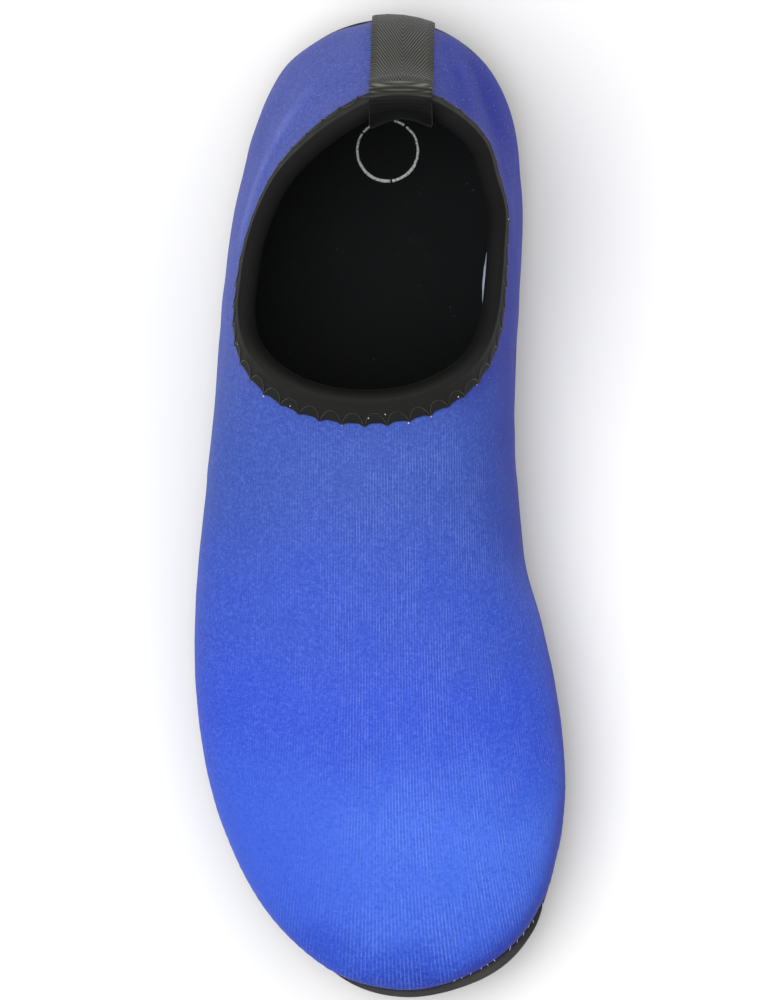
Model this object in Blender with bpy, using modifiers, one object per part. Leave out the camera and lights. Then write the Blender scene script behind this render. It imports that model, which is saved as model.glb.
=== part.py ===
"""Slip-on water shoe for a right foot: a hollow knitted upper on a cupped rubber sole, with an
insole, an elastic binding round the collar and a webbing pull loop at the heel.

The toe points to -Y, the heel to +Y, the medial side to +X, and the sole stands on Z = 0.
Every piece is worked out from one surface, the outer face of the upper. That face runs from the
margin turned under the foot, round the feather line, out to the bulge and up to the collar.
"""

import math

import bmesh
import bpy
import numpy as np

# Driving sizes, in metres
LENGTH = 0.255
BALL_WIDTH = 0.096
INSTEP_HEIGHT = 0.061
HEEL_HEIGHT = 0.063
TOE_SPRING = 0.008
GAP = 0.0003

UPPER_WALL = 0.002
MARGIN = 0.009
COLLAR_REACH = 0.012

PLATE = 0.003
LUG_HEIGHT = 0.002
LUG_DEPTH = 0.0062
LUG_PITCH = 0.0112
LUG_BITE = 0.0012
TREAD_INSET = 0.001
SIDE_WALL = 0.018
LIP = 0.0012
EDGE_OUT = 0.003
BEAD = 0.001

INSOLE = 0.003
INSOLE_CLEARANCE = 0.0006

BINDING = 0.001
BINDING_OUTSIDE = 0.0072
BINDING_INSIDE = 0.008

TAPE_WIDTH = 0.016
TAPE = 0.0012
LOOP_RISE = 0.013
LOOP_LEAN = 0.003
LOOP_FULLNESS = 0.7
LOOP_SWELL = 0.0012
TAPE_INSIDE = 0.017
TAPE_CLEARANCE = 0.0005

# How the surfaces are divided, as levels of face() and shares of the way along a piece
SPOKES = 64
UPPER_ROWS = 14
UPPER_LOW_LEVELS = (-1.0, 0.0, 0.3, 0.55, 0.78)
SOLE_INNER_ROWS = (0.0, 0.3, 0.55, 0.8, 1.0)
TAPE_HEEL_ROWS = (0.06, 0.12, 0.2, 0.3, 0.42, 0.54, 0.66)
TAPE_BINDING_ROWS = (1.2, 0.9)
TAPE_INSIDE_ROWS = (0.15, 0.3, 0.5, 0.75, 1.0)
LOOP_TURNS = (0, 25, 50, 70, 90, 110, 130, 155, 180)
SEARCH_UP = np.linspace(0, 1.6, 81)
SEARCH_DOWN = np.linspace(2, 0.6, 141)
TAPE_SHARES = np.linspace(-0.07, 0.07, 57)
NUDGE = 0.001

# How the upper's rows close up towards the collar. half is the reach at which half of it acts.
SPREAD = {"start": 1.8, "close": 1.7, "half": 0.012}


def table(names, *rows):
    """A table's columns by name, from its rows."""
    return dict(zip(names.split(), np.array(rows, dtype=float).T))


# Sections of the last from heel to toe. at is a share of LENGTH. lateral, medial, ridge and the
# tucks under the bulge are shares of BALL_WIDTH, bulge is a share of HEEL_HEIGHT and crown of
# INSTEP_HEIGHT, both above the sole's floor. fullness is the exponent of the section's arch.
LAST = table(
    "at     lateral medial tuck_out tuck_in bulge crown ridge fullness",
    (0.020, -0.130, 0.173, 0.080, 0.080, 0.260, 0.970, 0.045, 1.6),
    (0.051, -0.243, 0.282, 0.082, 0.082, 0.260, 0.980, 0.042, 1.6),
    (0.100, -0.319, 0.351, 0.083, 0.085, 0.260, 1.015, 0.030, 1.6),
    (0.179, -0.383, 0.382, 0.083, 0.090, 0.265, 1.005, 0.010, 1.7),
    (0.281, -0.419, 0.373, 0.088, 0.105, 0.280, 1.110, 0.000, 2.2),
    (0.382, -0.441, 0.363, 0.090, 0.130, 0.290, 0.930, 0.000, 2.4),
    (0.464, -0.463, 0.365, 0.090, 0.135, 0.285, 0.850, 0.015, 2.3),
    (0.545, -0.486, 0.390, 0.088, 0.120, 0.260, 0.790, 0.020, 2.2),
    (0.647, -0.502, 0.456, 0.085, 0.095, 0.235, 0.710, 0.050, 2.2),
    (0.728, -0.486, 0.490, 0.083, 0.083, 0.225, 0.650, 0.080, 2.3),
    (0.789, -0.456, 0.502, 0.083, 0.083, 0.220, 0.600, 0.100, 2.4),
    (0.851, -0.400, 0.483, 0.083, 0.083, 0.215, 0.540, 0.110, 2.5),
    (0.905, -0.321, 0.438, 0.083, 0.083, 0.210, 0.475, 0.115, 2.5),
    (0.954, -0.196, 0.336, 0.083, 0.083, 0.205, 0.420, 0.100, 2.4),
    (0.978, -0.099, 0.231, 0.083, 0.083, 0.205, 0.400, 0.080, 2.4),
)
HEEL_TIP = {"at": 0.007, "across": 0.029}
TOE_TIP = {"at": 0.992, "across": 0.088}
HEEL_ROUND = {"reach": 0.157, "power": 1.7}
TOE_ROUND = {"reach": 0.140, "power": 2.3}

# The upper's edge at the collar, in the same shares. height is a share of HEEL_HEIGHT.
COLLAR = table(
    "at     lateral medial height_out height_in",
    (0.1145, -0.092, 0.215, 0.975, 0.975),
    (0.141, -0.188, 0.280, 0.940, 0.945),
    (0.169, -0.259, 0.303, 0.900, 0.910),
    (0.204, -0.310, 0.328, 0.850, 0.870),
    (0.239, -0.341, 0.325, 0.815, 0.840),
    (0.275, -0.357, 0.318, 0.800, 0.825),
    (0.306, -0.363, 0.308, 0.800, 0.830),
    (0.337, -0.346, 0.284, 0.830, 0.860),
    (0.361, -0.297, 0.238, 0.870, 0.895),
    (0.380, -0.220, 0.157, 0.910, 0.925),
)
COLLAR_HEEL = {"at": 0.092, "across": 0.0625, "height": 1.0}
COLLAR_FRONT = {"at": 0.3945, "across": -0.031, "height": 0.945}

# Which share of the collar each share of the bulge line faces, from heel to toe on either side
FAN = table(
    "bulge collar",
    (0.00, 0.00),
    (0.14, 0.21),
    (0.28, 0.42),
    (0.42, 0.66),
    (0.60, 0.80),
    (1.00, 1.00),
)

# The sole from heel to toe. rise is a share of TOE_SPRING, the lips are shares of SIDE_WALL above
# the floor, and the flares, by which the wall stands out further, are shares of LIP.
SOLE = table(
    "at    rise  lip_out lip_in flare_out flare_in",
    (0.000, 0.18, 0.50, 0.50, 0.00, 0.00),
    (0.045, 0.00, 0.44, 0.42, 0.00, 0.00),
    (0.180, 0.00, 0.40, 0.36, 0.00, 0.00),
    (0.300, 0.00, 0.30, 0.38, 0.00, 0.00),
    (0.400, 0.17, 0.24, 0.36, 0.00, 0.00),
    (0.500, 0.17, 0.20, 0.28, 0.00, 0.00),
    (0.600, 0.00, 0.20, 0.22, 0.00, 0.00),
    (0.780, 0.00, 0.20, 0.22, 0.00, 0.00),
    (0.860, 0.16, 0.20, 0.25, 0.00, 0.00),
    (0.900, 0.36, 0.20, 0.32, 0.00, 0.00),
    (0.930, 0.54, 0.21, 0.56, 0.00, 0.40),
    (0.970, 0.80, 0.28, 0.68, 0.00, 1.10),
    (1.000, 1.00, 0.62, 0.62, 0.40, 0.40),
)

# The sole's side from lip to ground edge. down is a share of the way, proud a share of BEAD.
SOLE_SIDE = table(
    "down  proud",
    (0.00, 0.0),
    (0.06, 0.4),
    (0.22, 0.4),
    (0.28, 0.0),
    (0.56, 0.0),
    (0.62, 0.8),
    (0.90, 1.0),
    (1.00, 0.3),
)

# How quickly the sole's side columns change over at heel and toe
SIDE_CHANGE = 4

# The binding's fold over the collar's edge, from outside to inside. out is a share of the way
# from the fold's middle to its sides, up a share of the fold's height.
FOLD = table(
    "out   up",
    (1.00, 0.00),
    (0.72, 0.80),
    (0.00, 1.00),
    (-0.72, 0.80),
    (-1.00, 0.00),
)

# The first and last bars of tread, as shares of LENGTH
TREAD_HEEL = (0.055, 0.285)
TREAD_BALL = (0.575, 0.935)


def follow(rows, name, at):
    """A table's column at a share of the length, on a smooth curve that never overshoots a row."""
    knots = rows["at"] if "at" in rows else rows["bulge"]
    values = rows[name]
    width = np.diff(knots)
    steep = np.diff(values) / width
    slope = np.zeros(len(knots))
    slope[0], slope[-1] = steep[0], steep[-1]
    before, after = steep[:-1], steep[1:]
    near, far = 2 * width[1:] + width[:-1], width[1:] + 2 * width[:-1]
    turning = before * after <= 0
    safe_before, safe_after = np.where(turning, 1, before), np.where(turning, 1, after)
    mean = (near + far) / (near / safe_before + far / safe_after)
    slope[1:-1] = np.where(turning, 0, mean)
    at = np.clip(at, knots[0], knots[-1])
    row = np.clip(np.searchsorted(knots, at) - 1, 0, len(knots) - 2)
    part = (at - knots[row]) / width[row]
    low, high = values[row], values[row + 1]
    turn_in, turn_out = slope[row] * width[row], slope[row + 1] * width[row]
    straight = low + (high - low) * part**2 * (3 - 2 * part)
    return straight + turn_in * part * (1 - part) ** 2 - turn_out * part**2 * (1 - part)


def closed_curve(points, far):
    """A smooth closed curve through points. Its share is 0 at the first and 0.5 at point far."""
    points = np.array(points)
    ahead = np.roll(points, -1, axis=0) - points
    width = np.linalg.norm(ahead[:, :2], axis=1)
    width = width * 0.5 / np.where(np.arange(len(points)) < far, width[:far].sum(), width[far:].sum())
    knots = np.concatenate([[0], np.cumsum(width)])
    steep = ahead / width[:, None]
    back, last = np.roll(steep, 1, axis=0), np.roll(width, 1)[:, None]
    here = width[:, None]
    slope = (here * back + last * steep) / (here + last)

    def at(share):
        share = np.mod(share, 1.0)
        row = np.clip(np.searchsorted(knots, share, side="right") - 1, 0, len(points) - 1)
        ahead_row = (row + 1) % len(points)
        part = ((share - knots[row]) / width[row])[..., None]
        turn_in, turn_out = slope[row] * width[row][..., None], slope[ahead_row] * width[row][..., None]
        straight = points[row] + (points[ahead_row] - points[row]) * part**2 * (3 - 2 * part)
        return straight + turn_in * part * (1 - part) ** 2 - turn_out * part**2 * (1 - part)

    return at


def outline(rows, heel, toe, columns):
    """The closed curve of a table, from the heel up the medial side and back down the lateral."""
    ends = [(end["across"] * BALL_WIDTH, end["at"] * LENGTH, *columns(end)) for end in (heel, toe)]
    sides = []
    for side in ("medial", "lateral"):
        across, along = rows[side] * BALL_WIDTH, rows["at"] * LENGTH
        sides.append(list(zip(across, along, *columns(side))))
    points = [ends[0], *sides[0], ends[1], *reversed(sides[1])]
    return closed_curve(points, len(sides[0]) + 1)


def collar_heights(place):
    """The collar's height column for one side, or its height at one end."""
    if isinstance(place, dict):
        return (place["height"] * HEEL_HEIGHT,)
    return (COLLAR["height_in" if place == "medial" else "height_out"] * HEEL_HEIGHT,)


bulge_line = outline(LAST, HEEL_TIP, TOE_TIP, lambda place: ())
collar_line = outline(COLLAR, COLLAR_HEEL, COLLAR_FRONT, collar_heights)

# The bulge line's lateral and medial x at each distance from the heel
FINE = np.linspace(0, 0.5, 4001)
MEDIAL_SIDE = bulge_line(FINE)
LATERAL_SIDE = bulge_line(1 - FINE)


def floor_height(along):
    """The height of the sole's floor under the foot."""
    return LUG_HEIGHT + PLATE + TOE_SPRING * follow(SOLE, "rise", along / LENGTH)


def crown_height(across, along):
    """The height of the last's own face over a point in plan, without the collar's stand."""
    share = along / LENGTH
    low = floor_height(along) + GAP + HEEL_HEIGHT * follow(LAST, "bulge", share)
    high = floor_height(along) + GAP + INSTEP_HEIGHT * follow(LAST, "crown", share)
    for end, tip, sign in ((HEEL_ROUND, HEEL_TIP, 1), (TOE_ROUND, TOE_TIP, -1)):
        inside = np.clip(sign * (share - tip["at"]) / end["reach"], 0, 1)
        high = low + (high - low) * (1 - (1 - inside) ** end["power"]) ** (1 / end["power"])
    ridge = BALL_WIDTH * follow(LAST, "ridge", share)
    medial = np.interp(along, MEDIAL_SIDE[:, 1], MEDIAL_SIDE[:, 0])
    lateral = np.interp(along, LATERAL_SIDE[:, 1], LATERAL_SIDE[:, 0])
    side = np.where(across > ridge, medial, lateral) - ridge
    part = np.clip((across - ridge) / np.where(np.abs(side) < 1e-6, 1e-6, side), 0, 1)
    fullness = follow(LAST, "fullness", share)
    return low + (high - low) * (1 - part**fullness) ** (1 / fullness)


def plan_out(share):
    """The direction away from the foot, in plan, on the bulge line."""
    ahead = bulge_line(share + 1e-4) - bulge_line(share - 1e-4)
    ahead /= np.linalg.norm(ahead, axis=-1, keepdims=True)
    return np.stack([ahead[..., 1], -ahead[..., 0]], axis=-1)


def tuck(share, along):
    """How far the feather line lies inside the bulge line."""
    both = follow(LAST, "tuck_in", along / LENGTH), follow(LAST, "tuck_out", along / LENGTH)
    lean = 0.5 + 0.5 * np.sin(2 * math.pi * share)
    return BALL_WIDTH * (both[0] * lean + both[1] * (1 - lean))


def face(share, level):
    """Points on the upper's outer face, as (across, along, up). share goes round the shoe from
    the heel by the medial side. level is -1 at the margin's edge, 0 at the feather line, 1 at
    the bulge and 2 at the collar."""
    share, level = np.broadcast_arrays(np.mod(share, 1.0), np.asarray(level, dtype=float))
    rim = bulge_line(share)
    inward = tuck(share, rim[..., 1])
    turn = np.clip(level, 0, 1) * math.pi / 2
    inset = inward * (1 - np.sin(turn)) + MARGIN * np.clip(-level, 0, 1)
    low = rim - plan_out(share) * inset[..., None]
    bulge = HEEL_HEIGHT * follow(LAST, "bulge", rim[..., 1] / LENGTH)
    low_up = floor_height(low[..., 1]) + GAP + bulge * (1 - np.cos(turn))

    half = np.where(share > 0.5, 1 - share, share) * 2
    facing = follow(FAN, "collar", half) / 2
    edge = collar_line(np.where(share > 0.5, 1 - facing, facing))
    part = np.clip(level - 1, 0, 1)
    spoke = edge[..., :2] - rim
    reach = np.linalg.norm(spoke, axis=-1)
    close = SPREAD["close"] * reach / (reach + SPREAD["half"])
    high = rim + spoke * (part ** SPREAD["start"] * (1 + close * (1 - part)))[..., None]
    edge_up = floor_height(edge[..., 1]) + GAP + edge[..., 2]
    short = edge_up - crown_height(edge[..., 0], edge[..., 1])
    away = np.linalg.norm(edge[..., :2] - high, axis=-1) / COLLAR_REACH
    stand = part**2 * np.clip(1 - away, 0, 1) ** 2
    high_up = crown_height(high[..., 0], high[..., 1]) + short * stand
    below = level <= 1
    plan = np.where(below[..., None], low, high)
    up = np.where(below, low_up, high_up)
    return np.concatenate([plan, up[..., None]], axis=-1)


def shell(share, level, out):
    """Points that lie out from the upper's outer face, or inside it where out is negative."""
    share, level = np.broadcast_arrays(np.asarray(share, dtype=float), np.asarray(level, dtype=float))
    step = 2e-3
    lower, upper = np.clip(level - step, -1, 2), np.clip(level + step, -1, 2)
    climb = face(share, upper) - face(share, lower)
    round_way = face(share + step, level) - face(share - step, level)
    out_way = np.cross(round_way, climb)
    out_way /= np.linalg.norm(out_way, axis=-1, keepdims=True)
    return face(share, level) + out_way * np.asarray(out)[..., None]


def level_at_height(share, height, out):
    """The level at which a face lying out from the upper is at a height over the floor."""
    points = shell(share[:, None], SEARCH_UP[None, :], out)
    heights = points[..., 2] - floor_height(points[..., 1])
    height = np.broadcast_to(height, share.shape)
    return np.array([np.interp(h, row, SEARCH_UP) for h, row in zip(height, heights)])


def level_below_collar(share, drop):
    """The level that lies a distance down the wall from the collar's edge."""
    points = face(share[:, None], SEARCH_DOWN[None, :])
    steps = np.linalg.norm(np.diff(points, axis=1), axis=-1)
    lengths = np.concatenate([np.zeros((len(share), 1)), np.cumsum(steps, axis=1)], axis=1)
    return np.array([np.interp(drop, row, SEARCH_DOWN) for row in lengths])


def collar_wall(share, drop, out):
    """Points a distance down the wall from the collar's edge, and out from its outer face."""
    return shell(share, level_below_collar(share, drop), out)


def to_world(points):
    """(across, along, up) to X, Y, Z, with the middle of the length at Y = 0."""
    return [(x, LENGTH / 2 - y, z) for x, y, z in np.asarray(points).reshape(-1, 3)]


SHARES = np.arange(SPOKES) / SPOKES


def new_object(name, verts, faces, collection):
    """A mesh object from corners and faces, with its faces turned out."""
    mesh = bpy.data.meshes.new(name)
    mesh.from_pydata(verts, [], faces)
    bm = bmesh.new()
    bm.from_mesh(mesh)
    bmesh.ops.recalc_face_normals(bm, faces=bm.faces)
    bm.to_mesh(mesh)
    bm.free()
    obj = bpy.data.objects.new(name, mesh)
    collection.objects.link(obj)
    return obj


def band(rows, first, count):
    """Faces between neighbouring closed rings of count points each."""
    faces = []
    for row in range(rows - 1):
        for i in range(count):
            j = (i + 1) % count
            low, high = first + row * count, first + (row + 1) * count
            faces.append((low + i, low + j, high + j, high + i))
    return faces


def across_fill(first, count):
    """Faces from the medial to the lateral side of one ring, with a three-cornered one at each end."""
    faces = []
    for i in range(count // 2):
        corners = [i, i + 1, (count - i - 1) % count, (count - i) % count]
        faces.append(tuple(first + c for c in dict.fromkeys(corners)))
    return faces


def lofted(name, rings, collection, closed_loop=False):
    """A solid from rings: filled across at both ends, or joined from the last ring to the first."""
    count = len(rings[0])
    verts = [point for ring in rings for point in to_world(ring)]
    faces = band(len(rings), 0, count)
    if closed_loop:
        last = (len(rings) - 1) * count
        faces += [
            (last + i, last + (i + 1) % count, (i + 1) % count, i)
            for i in range(count)
        ]
    else:
        faces += across_fill(0, count) + across_fill((len(rings) - 1) * count, count)
    return new_object(name, verts, faces, collection)


def material(name, colour, roughness, metallic=0.0):
    """A plain Principled material."""
    mat = bpy.data.materials.new(name)
    mat.use_nodes = True
    shader = mat.node_tree.nodes["Principled BSDF"]
    shader.inputs["Base Color"].default_value = (*colour, 1.0)
    shader.inputs["Roughness"].default_value = roughness
    shader.inputs["Metallic"].default_value = metallic
    return mat


def solidify(obj, thickness, offset):
    """Gives an open surface its wall."""
    wall = obj.modifiers.new("wall", "SOLIDIFY")
    wall.thickness = thickness
    wall.offset = offset
    wall.use_even_offset = True


def boolean(obj, other, operation):
    """Joins, cuts or trims obj with another closed mesh."""
    modifier = obj.modifiers.new(other.name, "BOOLEAN")
    modifier.operation = operation
    modifier.object = other
    modifier.solver = "EXACT"


def open_surface(name, grid, closed, collection):
    """A surface through a grid of points, given row by row."""
    rows, count = grid.shape[:2]
    verts = to_world(grid)
    if closed:
        faces = band(rows, 0, count)
    else:
        faces = [
            (r * count + i, r * count + i + 1, (r + 1) * count + i + 1, (r + 1) * count + i)
            for r in range(rows - 1)
            for i in range(count - 1)
        ]
    return new_object(name, verts, faces, collection)


def make_upper(parts):
    """The hollow upper: an open surface from the turned-under margin to the collar, with a wall."""
    levels = np.concatenate([UPPER_LOW_LEVELS, np.linspace(1, 2, UPPER_ROWS + 1)])
    grid = face(SHARES[None, :], levels[:, None])
    upper = open_surface("upper", grid, True, parts)
    face_out(upper, grid)
    solidify(upper, UPPER_WALL, -1.0)
    return upper


def face_out(obj, grid):
    """Turns an open surface so that its faces point away from the middle of the shoe."""
    mesh = obj.data
    middle = np.array(to_world(grid.reshape(-1, 3).mean(axis=0)))[0]
    centres = np.array([p.center[:] for p in mesh.polygons]) - middle
    normals = np.array([p.normal[:] for p in mesh.polygons])
    if (centres * normals).sum() < 0:
        mesh.flip_normals()


def plan_offset(share, out):
    """A step away from the foot in plan."""
    flat = plan_out(share) * np.asarray(out)[..., None]
    return np.concatenate([flat, np.zeros((*flat.shape[:-1], 1))], axis=-1)


def feather_ring(out, up):
    """A ring in plan out from the feather line, and up from the floor."""
    ring = face(SHARES, 0.0) + plan_offset(SHARES, np.full(SPOKES, out))
    ring[:, 2] = floor_height(ring[:, 1]) + up
    return ring


def sole_side(column):
    """A column of the sole all round, from its lateral and medial values."""
    along = bulge_line(SHARES)[:, 1] / LENGTH
    lean = 0.5 + 0.5 * np.tanh(SIDE_CHANGE * np.sin(2 * math.pi * SHARES))
    return follow(SOLE, column + "_in", along) * lean + follow(SOLE, column + "_out", along) * (1 - lean)


def lip_level():
    """The level of the sole's lip on the upper, all round."""
    return level_at_height(SHARES, sole_side("lip") * SIDE_WALL, GAP)


def make_outsole(parts, cutters):
    """The cupped sole: floor, wall with its bead and step, and bars of tread."""
    lip = lip_level()
    thick = LIP * (1 + sole_side("flare"))
    inner = [shell(SHARES, lip * part, GAP) for part in SOLE_INNER_ROWS]
    edge = feather_ring(EDGE_OUT, -PLATE)
    outer = []
    for down, proud in zip(SOLE_SIDE["down"], SOLE_SIDE["proud"]):
        wall = shell(SHARES, lip * (1 - down), GAP) + plan_offset(SHARES, thick)
        ring = wall * (1 - down**2) + edge * down**2
        outer.append(ring + plan_offset(SHARES, np.full(SPOKES, proud * BEAD)))
    outsole = lofted("outsole", inner + outer, parts)
    boolean(outsole, make_tread(cutters), "UNION")
    return outsole


def make_tread(cutters):
    """Bars across the ball and the heel, trimmed to the sole's outline."""
    bars = bmesh.new()
    wider_than_sole = 2 * BALL_WIDTH
    size = (wider_than_sole, LUG_DEPTH, LUG_HEIGHT + LUG_BITE)
    for first, last in (TREAD_HEEL, TREAD_BALL):
        count = 1 + round((last - first) * LENGTH / LUG_PITCH)
        for along in np.linspace(first * LENGTH, last * LENGTH, count):
            steep = (floor_height(along + NUDGE) - floor_height(along - NUDGE)) / (2 * NUDGE)
            ground = floor_height(along) - PLATE - LUG_HEIGHT
            made = bmesh.ops.create_cube(bars, size=1.0)["verts"]
            for vert in made:
                vert.co = [vert.co[i] * size[i] for i in range(3)]
                vert.co.z += size[2] / 2 + ground - vert.co.y * steep
                vert.co.y += LENGTH / 2 - along
    mesh = bpy.data.meshes.new("tread_bars")
    bars.to_mesh(mesh)
    bars.free()
    tread = bpy.data.objects.new("tread_bars", mesh)
    cutters.objects.link(tread)
    rings = []
    for height in (-PLATE, LUG_HEIGHT + PLATE + TOE_SPRING):
        ring = feather_ring(EDGE_OUT - TREAD_INSET, 0.0)
        ring[:, 2] = height
        rings.append(ring)
    trim = lofted("tread_outline", rings, cutters)
    boolean(tread, trim, "INTERSECT")
    return tread


def make_insole(parts):
    """The insole: it lies on the margin, and fills the space that the margin leaves."""
    on_margin = UPPER_WALL + 2 * GAP
    inside = -(UPPER_WALL + INSOLE_CLEARANCE)
    rings = []
    for height in (on_margin, on_margin + INSOLE):
        level = level_at_height(SHARES, height, inside)
        rings.append(shell(SHARES, level, inside))
    rim = face(SHARES, -1.0) - plan_offset(SHARES, np.full(SPOKES, INSOLE_CLEARANCE))
    under, over = rim.copy(), rim.copy()
    under[:, 2] = floor_height(rim[:, 1]) + GAP
    over[:, 2] = floor_height(rim[:, 1]) + on_margin
    return lofted("insole", [under, over, rings[0], rings[1]], parts)


def make_binding(parts):
    """The binding: an elastic tape folded over the collar's edge, in section a long U."""
    near, far = GAP, GAP + BINDING
    inner_near, inner_far = -(UPPER_WALL + GAP), -(UPPER_WALL + GAP + BINDING)
    middle = -UPPER_WALL / 2
    edge = shell(SHARES, 2.0, 0.0)
    up_way = edge - shell(SHARES, level_below_collar(SHARES, NUDGE), 0.0)
    up_way /= np.linalg.norm(up_way, axis=-1, keepdims=True)

    def over(out, up):
        return shell(SHARES, 2.0, out) + up_way * up

    outside = [collar_wall(SHARES, drop, far) for drop in (BINDING_OUTSIDE, BINDING_OUTSIDE / 2)]
    fold = [
        over(middle + (far - middle) * out, far * up)
        for out, up in zip(FOLD["out"], FOLD["up"])
    ]
    inside = [collar_wall(SHARES, drop, inner_far) for drop in (BINDING_INSIDE / 2, BINDING_INSIDE)]
    back = [collar_wall(SHARES, drop, inner_near) for drop in (BINDING_INSIDE, BINDING_INSIDE / 2)]
    under = [over(inner_near, 0.0), over(inner_near, near), over(near, near), over(near, 0.0)]
    down = [collar_wall(SHARES, drop, near) for drop in (BINDING_OUTSIDE / 2, BINDING_OUTSIDE)]
    rings = outside + fold + inside + back + under + down
    return lofted("collar_binding", rings, parts, closed_loop=True)


def tape_row(out, drop=0.0, by_height=None):
    """A row of points across the tape, lying out from the upper's face at the heel: at a drop
    below the collar's edge, or at a height over the floor."""
    if by_height is None:
        points = collar_wall(TAPE_SHARES, drop, out)
    else:
        points = shell(TAPE_SHARES, level_at_height(TAPE_SHARES, by_height, out), out)
    middle = COLLAR_HEEL["across"] * BALL_WIDTH
    across = middle + TAPE_WIDTH * np.linspace(-0.5, 0.5, 5)
    order = np.argsort(points[:, 0])
    points = points[order]
    rest = [np.interp(across, points[:, 0], points[:, i]) for i in (1, 2)]
    return np.stack([across, *rest], axis=-1)


def make_pull_loop(parts):
    """Webbing from the sole's lip up the heel, in a loop over the collar and down inside."""
    on_wall = TAPE_CLEARANCE + TAPE / 2
    on_binding = GAP + BINDING + TAPE_CLEARANCE + TAPE / 2
    heel_lip = SOLE["lip_in"][0] * SIDE_WALL + GAP
    lowest = level_at_height(np.zeros(1), heel_lip, on_wall)[0]
    up_the_heel = np.linspace(lowest, 2, len(SEARCH_UP))
    heel_wall = face(np.zeros(len(up_the_heel)), up_the_heel)
    wall_length = np.linalg.norm(np.diff(heel_wall, axis=0), axis=1).sum()
    rows = [tape_row(on_wall, by_height=heel_lip)]
    for part in TAPE_HEEL_ROWS:
        rows.append(tape_row(on_wall, wall_length * (1 - part)))
    for part in TAPE_BINDING_ROWS:
        rows.append(tape_row(on_binding, BINDING_OUTSIDE * part))
    outer = tape_row(on_binding, BINDING_OUTSIDE / 2)
    inner = tape_row(-(UPPER_WALL + on_binding + GAP))
    # The loop's rows lean from the outer leg over to the inner leg on a round arch.
    for turn in np.radians(LOOP_TURNS):
        part = (1 - math.cos(turn)) / 2
        row = outer * (1 - part) + inner * part
        row[:, 2] += LOOP_RISE * abs(math.sin(turn)) ** LOOP_FULLNESS
        row[:, 1] -= LOOP_LEAN * math.sin(turn) + LOOP_SWELL * math.sin(2 * turn)
        flat = row.mean(axis=0)
        row[:, 1:] += (flat[1:] - row[:, 1:]) * math.sin(turn) ** 3
        rows.append(row)
    for part in TAPE_INSIDE_ROWS:
        rows.append(tape_row(-(UPPER_WALL + on_binding), TAPE_INSIDE * part))
    loop = open_surface("heel_pull_loop", np.array(rows), False, parts)
    solidify(loop, TAPE, 0.0)
    return loop


def build():
    """Clears the scene and makes every piece."""
    for obj in list(bpy.data.objects):
        bpy.data.objects.remove(obj)
    parts = bpy.data.collections.new("water_shoe")
    cutters = bpy.data.collections.new("cutters")
    for collection in (parts, cutters):
        bpy.context.scene.collection.children.link(collection)
    rubber = material("black rubber", (0.012, 0.012, 0.013), 0.6)
    knit = material("blue knit", (0.075, 0.125, 0.62), 0.55)
    foam = material("black foam", (0.008, 0.009, 0.01), 0.8)
    elastic = material("black elastic", (0.012, 0.012, 0.014), 0.7)
    webbing = material("black webbing", (0.045, 0.048, 0.048), 0.75)
    made = {
        make_outsole(parts, cutters): rubber,
        make_upper(parts): knit,
        make_insole(parts): foam,
        make_binding(parts): elastic,
        make_pull_loop(parts): webbing,
    }
    for obj, mat in made.items():
        obj.data.materials.append(mat)
        obj.data.shade_smooth()
        obj.data.set_sharp_from_angle(angle=math.radians(40))
    for obj in cutters.objects:
        obj.hide_render = True
        obj.display_type = "WIRE"


build()
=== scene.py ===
"""Looks of the slip-on water shoe for a right foot, round its solids: stretch knit with its
creases, rubber sole, elastic binding with zigzag thread, herringbone pull loop and insole.

The surfaces come from the same named sizes and tables as the solids, sampled more finely.
"""

import math

import bmesh
import bpy
import numpy as np
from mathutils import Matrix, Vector


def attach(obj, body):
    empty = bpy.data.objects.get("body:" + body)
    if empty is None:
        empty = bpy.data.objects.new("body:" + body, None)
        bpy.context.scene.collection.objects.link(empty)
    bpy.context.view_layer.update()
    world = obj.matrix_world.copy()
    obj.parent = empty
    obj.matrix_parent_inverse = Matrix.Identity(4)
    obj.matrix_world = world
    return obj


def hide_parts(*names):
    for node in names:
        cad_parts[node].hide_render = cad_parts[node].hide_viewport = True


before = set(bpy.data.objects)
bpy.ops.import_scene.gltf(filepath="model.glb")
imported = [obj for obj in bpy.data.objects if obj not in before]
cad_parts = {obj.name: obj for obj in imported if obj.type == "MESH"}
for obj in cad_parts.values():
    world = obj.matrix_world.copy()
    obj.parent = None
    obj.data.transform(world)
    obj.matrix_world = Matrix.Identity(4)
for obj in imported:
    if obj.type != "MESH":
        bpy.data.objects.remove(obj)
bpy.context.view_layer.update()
rng = np.random.default_rng(7)

# Driving sizes, in metres
LENGTH = 0.255
BALL_WIDTH = 0.096
INSTEP_HEIGHT = 0.061
HEEL_HEIGHT = 0.063
TOE_SPRING = 0.008
GAP = 0.0003

UPPER_WALL = 0.002
MARGIN = 0.009
COLLAR_REACH = 0.012

PLATE = 0.003
LUG_HEIGHT = 0.002
LUG_DEPTH = 0.0062
LUG_PITCH = 0.0112
LUG_BITE = 0.0012
TREAD_INSET = 0.001
SIDE_WALL = 0.018
LIP = 0.0012
EDGE_OUT = 0.003
BEAD = 0.001

INSOLE = 0.003
INSOLE_CLEARANCE = 0.0006

BINDING = 0.001
BINDING_OUTSIDE = 0.0072
BINDING_INSIDE = 0.008

TAPE_WIDTH = 0.016
TAPE = 0.0012
LOOP_RISE = 0.013
LOOP_LEAN = 0.003
LOOP_FULLNESS = 0.7
LOOP_SWELL = 0.0012
TAPE_INSIDE = 0.017
TAPE_CLEARANCE = 0.0005

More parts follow.
